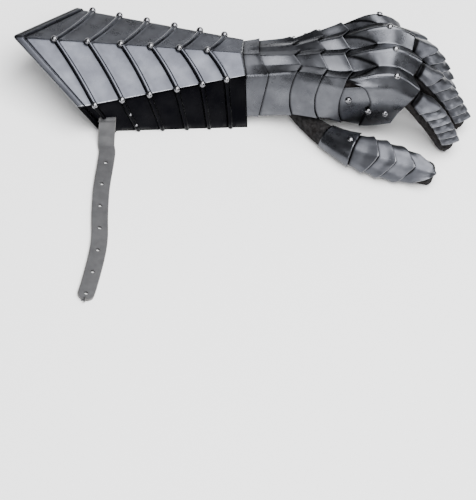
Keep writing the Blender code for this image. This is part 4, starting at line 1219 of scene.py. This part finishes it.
def fine_ring(ring, count):
    """A closed ring resampled to a number of points."""
    fine = smooth_path(ring, 6, closed=True)
    walks = [0.0]
    for a, b in zip(fine, fine[1:] + fine[:1]):
        walks.append(walks[-1] + (b - a).length)
    made, k = [], 0
    for i in range(count):
        want = walks[-1] * i / count
        while walks[k + 1] < want:
            k += 1
        t = (want - walks[k]) / max(walks[k + 1] - walks[k], 1e-9)
        made.append(fine[k].lerp(fine[(k + 1) % len(fine)], t))
    return made


def tube(name, rings, amount, scale, seam=None, closed_end=True):
    """A leather tube through fine rings, crumpled outwards and inwards, with an optional seam."""
    columns = len(rings[0])
    normals = grid_normals(rings, closed=True)
    raised = []
    for r, (row, nrow) in enumerate(zip(rings, normals)):
        made = []
        for c, (p, n) in enumerate(zip(row, nrow)):
            lift = crumpled(p, amount, scale)
            if seam is not None:
                lift += seam(r / (len(rings) - 1), c / columns)
            made.append(p + n * lift)
        raised.append(made)
    points = [p for row in raised for p in row]
    faces = grid_faces(len(rings), columns, closed=True)
    if closed_end:
        faces.append(tuple(reversed(range(len(points) - columns, len(points)))))
    made = mesh_piece(name, points, faces, SUEDE)
    solidify = made.modifiers.new("thickness", "SOLIDIFY")
    solidify.thickness = LEATHER
    solidify.offset = -1
    return made


def dress_finger(name, rows, back):
    """A suede finger with a seam along each side, open where it meets the hand."""
    rings = []
    for i in range(FINGER_RINGS + 1):
        rings.append([digit_point(rows, i / FINGER_RINGS, -180 + 360 * k / FINGER_SIDES, -SEAM, back)
                      for k in range(FINGER_SIDES)])
    along = digit_frame(rows, 1, back)[0]
    centre, width, _ = digit_place(rows, 1)
    last = rings[-1]
    for shrink, ahead in TIP_RINGS:
        ahead *= THUMB_TIP if name == "thumb" else 1
        rings.append([centre + (p - centre) * shrink + along * ahead * width for p in last])

    def seam(row, column):
        near = min(abs(column - .25), abs(column - .75)) * FINGER_SIDES
        return SEAM_RISE * max(0, peak(near, 0, 1.1)) - SEAM_DIP * max(0, peak(near, 2, 1.2))

    rides(tube("glove_" + name + "_suede", rings, .0005, 90, seam), "gauntlet", "glove_" + name)


def dress_hand():
    """The suede hand: one tube from the wrist to the roots of the fingers."""
    places = (PALM[-1][0] * i / HAND_RINGS for i in range(HAND_RINGS + 1))
    rings = [fine_ring(hand_ring(place, -SEAM), HAND_SIDES) for place in places]
    rides(tube("glove_hand_suede", rings, .0008, 55), "gauntlet", "glove_hand")


def cuff_ring(share, grow):
    """A fine ring of the glove's leather cuff at a share of the steel cuff's length."""
    half, middle, tall = interpolate([(row[0], row[1:]) for row in GLOVE_CUFF], share)
    x = share * CUFF_LENGTH
    reach, ridge = cuff_line(0, x).x, cuff_line(2, x).y
    ring = []
    for i in range(HAND_SIDES):
        turn = math.radians(180 - 360 * i / HAND_SIDES)
        across = math.copysign(abs(math.cos(turn)) ** CUFF_SQUARENESS, -math.cos(turn))
        up = math.copysign(abs(math.sin(turn)) ** CUFF_SQUARENESS, math.sin(turn))
        ring.append(at(x, across * (half * reach + grow), middle * ridge + up * (tall * ridge + grow)))
    return ring


def dress_glove():
    """The glove: its cuff with a turned hem, the hand, and the fingers."""
    first, last = GLOVE_CUFF[0][0], GLOVE_CUFF[-1][0]
    places = (first + (last - first) * i / CUFF_RINGS for i in range(CUFF_RINGS + 1))
    rings = [cuff_ring(place, -SEAM) for place in places]

    def hem(row, column):
        stitch = STITCH_DIP * max(0, peak(row, STITCH_PLACE, STITCH_WIDTH))
        side = min(abs(column - .5), column, 1 - column) * HAND_SIDES
        turned = HEM_RISE if row < HEM_WIDTH else 0
        return turned - stitch + CUFF_SEAM_RISE * max(0, peak(side, 0, 1.6))

    sleeve = tube("glove_cuff_suede", rings, .0011, 38, hem, closed_end=False)
    rides(sleeve, "gauntlet", "glove_cuff")
    dress_hand()
    for name, _, _, rows in (*FINGERS, THUMB):
        dress_finger(name, rows, THUMB_BACK if name == "thumb" else Vector((0, 0, 1)))


# Straps: points across and between two places of a route, rounding of the rims, how close the
# points stand at the edges, and the share of the width up to the paler cut
STRAP_COLUMNS = 9
STRAP_STEPS = 6
STRAP_ROUND = 0.0004
STRAP_CROWD = 0.8
STRAP_FACE = 0.86
HOLE_SIDES = 20
# Tab past its rivet, and turns in degrees of its fold and of the prong's eye: start, whole turn, steps
TAB_END = 0.006
FOLD = (-95, 225, 8)
EYE = (-30, -240, 24)


def strap_piece(name, path, asides, widths, thickness, crown):
    """A leather strap with a soft crown and a paler cut edge."""
    evenly = [2 * k / (STRAP_COLUMNS - 1) - 1 for k in range(STRAP_COLUMNS)]
    shares = [math.copysign(abs(share) ** STRAP_CROWD, share) for share in evenly]
    cut = [max(0, (abs(share) - STRAP_FACE) / (1 - STRAP_FACE)) for share in shares]
    grid = []
    for p, aside, width in zip(path, asides, widths):
        grid.append([p + aside * width / 2 * share for share in shares])
    for row, normals in zip(grid, grid_normals(grid)):
        for k, share in enumerate(evenly):
            row[k] = row[k] - normals[k] * crown * share ** 4
    wear_and_highlight = [cut] * len(path)
    return plate(name, grid, thickness, STRAP, wear_and_highlight, bevel=STRAP_ROUND, even=False)


def forearm_route():
    """The forearm strap's middle line, the direction across it and its width."""
    inside = STEEL + GAP
    low, half = SLOT_HEIGHT, STRAP_THICKNESS / 2
    tilted = [
        at(STRAP_X, wing_reach(low + STRAP_RISE, inside), low + STRAP_RISE),
        at(STRAP_X, wing_reach(low + STRAP_RISE * .5, inside), low + STRAP_RISE * .5),
        at(STRAP_X, wing_reach(low, inside) - half * .4, low + half * 2.8),
        at(STRAP_X, wing_reach(low, inside) + half * 1.6, low + half),
        at(STRAP_X, wing_reach(low, -half * 2.8), low + half * 1.1),
        at(STRAP_X, wing_reach(low, -half * 6.5), low * .75 + half),
        at(STRAP_X, wing_reach(low, -half * 11), low * .22 + STRAP_THICKNESS + SEAM),
    ]
    run = [at(STRAP_X + x * CUFF_LENGTH, reach, STRAP_THICKNESS + SEAM) for x, reach in STRAP_RUN]
    fold = rounded_profile(tilted, [.45] * len(tilted), 3, 3)
    path = fold[:-1] + smooth_path([tilted[-1], *run], STRAP_STEPS)
    rounding = [path[-1].lerp(path[-2], (1 - k / 8) ** 2) for k in range(1, 8)]
    path = path[:-1] + rounding + [path[-1]]
    asides, widths = [], []
    lengths = [(b - a).length for a, b in zip(path, path[1:])]
    left = sum(lengths)
    for i, p in enumerate(path):
        ahead = path[min(i + 1, len(path) - 1)] - path[max(i - 1, 0)]
        flat = Vector((ahead.x, ahead.y, 0)) if abs(ahead.y) > 1e-4 else Vector((0, -1, 0))
        if flat.y > 0:
            flat = -flat
        level = Vector((0, 0, 1)).cross(flat.normalized())
        lying = min(1, max(0, 1.4 - p.z / low)) if i > STRAP_COLUMNS else 0
        asides.append(wing_aside().lerp(level, lying).normalized())
        round_end = min(1, max(left, 0) / (STRAP_WIDTH / 2))
        widths.append(STRAP_WIDTH * max(.30, math.sqrt(1 - (1 - round_end) ** 2)))
        if i < len(lengths):
            left -= lengths[i]
    return path, asides, widths, len(fold) - 1


def dress_straps():
    """The straps, the buckle and their rivets."""
    path, asides, widths, start = forearm_route()
    strap = strap_piece("forearm_strap_leather", path, asides, widths, STRAP_THICKNESS, .0001)
    bm = bmesh.new()
    walked, wanted, done = 0.0, FIRST_HOLE, 0
    for a, b in zip(path[start:], path[start + 1:]):
        step = (b - a).length
        while walked + step >= wanted and done < STRAP_HOLES:
            centre = a.lerp(b, (wanted - walked) / step)
            found = bmesh.ops.create_cone(bm, cap_ends=True, segments=HOLE_SIDES, radius1=HOLE_RADIUS,
                                          radius2=HOLE_RADIUS, depth=STRAP_THICKNESS * 3)
            for vert in found["verts"]:
                vert.co += centre
            wanted += HOLE_PITCH
            done += 1
        walked += step
    carve(strap, bm)
    rides(strap, "gauntlet", "forearm_strap")
    low, inside = SLOT_HEIGHT, STEEL + GAP
    root = wing_reach(low + STRAP_RISE * .7, inside + STRAP_THICKNESS)
    spot = at(STRAP_X, root, low + STRAP_RISE * .7)
    heads("strap_rivet_head", [(spot, wing_normal(), RIVET_RADIUS, RIVET_RISE)], NICKEL, "strap_rivet")
    dress_buckle()
    dress_palm_strap()


def dress_buckle():
    """The buckle's tab, frame, prong and rivet."""
    outer = BUCKLE_WIRE + GAP + TAB_THICKNESS
    bar = Vector((-BUCKLE_REACH, BAR_HEIGHT))
    inside = STEEL + GAP + TAB_THICKNESS
    top = TAB_RISE + TAB_END
    flat = TAB_THICKNESS + SEAM
    profile = [
        Vector((-wing_reach(top, inside), top)),
        Vector((-wing_reach(top * .55, inside), top * .55)),
        Vector((-wing_reach(top * .3, inside) + .0006, top * .3)),
        Vector((-wing_reach(0, inside) + .0045, flat + .0006)),
        Vector((-wing_reach(0, inside) + .0080, flat)),
        bar + Vector((-outer * 1.7, flat - BAR_HEIGHT)),
    ]
    profile += arc(bar, BUCKLE_WIRE + GAP, *FOLD)
    profile.append(Vector((bar.x - outer * 1.6, flat + SEAM * 1.5)))
    profile.append(Vector((bar.x - outer * 3.4, flat + SEAM)))
    coarse = [at(STRAP_X, p.x, p.y) for p in profile]
    path = smooth_path(coarse, 3)
    aside = wing_aside()
    aside.y = -aside.y
    bend = [aside] * 3 + [aside.lerp(Vector((1, 0, 0)), .5)] + [Vector((1, 0, 0))] * (len(coarse) - 4)
    asides = smooth_path(bend, 3)
    tab = strap_piece("buckle_tab_leather", path, asides, [STRAP_WIDTH] * len(path), TAB_THICKNESS, .0002)
    rides(tab, "gauntlet", "buckle_tab")
    slope = Vector((BUCKLE_LENGTH, -(BAR_HEIGHT - BUCKLE_WIRE - SEAM)))
    outline = rounded_frame(bar, slope, BUCKLE_WIDTH / 2 - BUCKLE_WIRE)
    rides(wire("buckle_frame_nickel", outline, BUCKLE_WIRE, NICKEL, cyclic=True), "buckle", "buckle_frame")
    eye = PRONG_WIRE + BUCKLE_WIRE + SEAM * 1.3
    rest = bar + slope + Vector((PRONG_WIRE, BUCKLE_WIRE + PRONG_WIRE + SEAM * 1.5))
    shape = arc(bar, eye, *EYE) + [rest]
    rides(wire("buckle_prong_nickel", [at(STRAP_X, p.x, p.y) for p in shape], PRONG_WIRE, NICKEL),
          "prong", "buckle_prong")
    inward = wing_normal()
    inward.y = -inward.y
    place = at(STRAP_X, -wing_reach(TAB_RISE, inside), TAB_RISE)
    heads("tab_rivet_head", [(place, inward, TAB_RIVET_RADIUS, RIVET_RISE * .6)], NICKEL, "tab_rivet")


def arc(centre, radius, start, whole, steps):
    """Flat points round a centre, through a whole turn in degrees."""
    turns = (math.radians(start + whole * i / steps) for i in range(steps + 1))
    return [centre + Vector((math.cos(turn), math.sin(turn))) * radius for turn in turns]


def rounded_frame(bar, slope, half):
    """Points of the buckle frame's middle line, a rectangle with round corners."""
    points = []
    for quarter, (side, far) in enumerate(((1, 1), (-1, 1), (-1, 0), (1, 0))):
        for step in range(7):
            turn = math.radians(90 * quarter + 15 * step)
            across = side * (half - BUCKLE_CORNER) + BUCKLE_CORNER * math.cos(turn)
            inner = slope.length - BUCKLE_CORNER if far else BUCKLE_CORNER
            spot = bar + slope.normalized() * (inner + BUCKLE_CORNER * math.sin(turn))
            points.append(at(STRAP_X + across, spot.x, spot.y))
    return points


def wire(name, points, radius, stuff, cyclic=False):
    """A round wire through points."""
    curve = bpy.data.curves.new(name, "CURVE")
    curve.dimensions = "3D"
    curve.bevel_depth = radius
    curve.bevel_resolution = 4
    curve.use_fill_caps = not cyclic
    spline = curve.splines.new("POLY")
    spline.points.add(len(points) - 1)
    for target, p in zip(spline.points, points):
        target.co = (*p, 1)
    spline.use_cyclic_u = cyclic
    spline.use_smooth = True
    curve.materials.append(stuff)
    return placed(name, curve)


def dress_palm_strap():
    """The strap across the palm."""
    def under(share, reach):
        palm, half, _ = interpolate([(row[0], row[1:]) for row in PALM], share)
        rise = max(0, abs(reach) / half - .75)
        return Vector((reach * HAND_WIDTH, palm * HAND_HEIGHT - SEAM * 8 + rise * .02))

    profile = []
    for share, reach, height in PALM_STRAP:
        spot = under(share, reach) if height is None else Vector((reach * HAND_WIDTH, height * HAND_HEIGHT))
        profile.append(at(hand_x(share), *spot))
    path = smooth_path(profile, 5)
    asides = []
    for i in range(len(path)):
        ahead = path[min(i + 1, len(path) - 1)] - path[max(i - 1, 0)]
        lean = Vector((-1, 0, 0))
        asides.append((lean - ahead * lean.dot(ahead) / ahead.length_squared).normalized())
    made = strap_piece("palm_strap_leather", path, asides, [PALM_STRAP_WIDTH] * len(path),
                       PALM_STRAP_THICKNESS, .0002)
    rides(made, "gauntlet", "palm_strap")


FLOOR_SIZE = 6
# Lights: name, place, aim, size and watts
LIGHTS = (
    ("overhead", (0.25, -0.10, 1.6), (0, 0.05, 0), (2.4, 1.5), 98),
    ("front", (-0.3, -1.7, 0.8), (0.05, 0, 0), (1.2, 0.5), 20),
    ("side", (1.5, -0.5, 0.9), (0.15, 0, 0), (0.3, 0.6), 10),
    ("back", (0.3, 1.9, 0.75), (0, 0, 0.05), (2.4, 0.5), 10),
)


def make_camera():
    """The photograph's camera, which looks along +Y at azimuth 0."""
    azimuth, elevation = math.radians(CAMERA_AZIMUTH), math.radians(CAMERA_ELEVATION)
    look = Vector((-math.sin(azimuth) * math.cos(elevation), math.cos(azimuth) * math.cos(elevation),
                   -math.sin(elevation)))
    right = Vector((math.cos(azimuth), math.sin(azimuth), 0))
    up = right.cross(look)
    roll = math.radians(CAMERA_ROLL)
    right, up = right * math.cos(roll) + up * math.sin(roll), up * math.cos(roll) - right * math.sin(roll)
    aside, above = (pixels / PIXELS_PER_METRE for pixels in CAMERA_OFFSET)
    aim = CAMERA_TARGET - right * aside + up * above
    data = bpy.data.cameras.new("photo_camera")
    data.sensor_fit = "VERTICAL"
    data.angle = 2 * math.atan(IMAGE_HEIGHT / 2 / PIXELS_PER_METRE / CAMERA_DISTANCE)
    data.clip_end = 50
    camera = placed("photo_camera", data)
    matrix = Matrix((right, up, -look)).transposed().to_4x4()
    matrix.translation = aim - look * CAMERA_DISTANCE
    camera.matrix_world = matrix
    bpy.context.scene.camera = camera


def area_light(name, place, aim, size, power):
    """A soft rectangular light."""
    data = bpy.data.lights.new(name, "AREA")
    data.shape = "RECTANGLE"
    data.size, data.size_y = size
    data.energy = power
    made = placed(name, data)
    made.location = place
    made.rotation_euler = (Vector(aim) - Vector(place)).to_track_quat("-Z", "Y").to_euler()


def make_stage():
    """A pale floor and soft lights."""
    stuff, _, shader = node_tree("pale_floor")
    shader.inputs["Base Color"].default_value = (0.97, 0.97, 0.97, 1)
    shader.inputs["Roughness"].default_value = 0.8
    bm = bmesh.new()
    bmesh.ops.create_grid(bm, x_segments=1, y_segments=1, size=FLOOR_SIZE)
    floor = baked("floor", bm, stuff)
    world = bpy.data.worlds.new("studio")
    world.use_nodes = True
    world.node_tree.nodes["Background"].inputs["Color"].default_value = (0.80, 0.82, 0.86, 1)
    world.node_tree.nodes["Background"].inputs["Strength"].default_value = 0.20
    bpy.context.scene.world = world
    for light in LIGHTS:
        area_light(*light)


make_camera()
make_stage()
make_cuff()
dress_plates()
dress_scales()
dress_rivets()
dress_glove()
dress_straps()
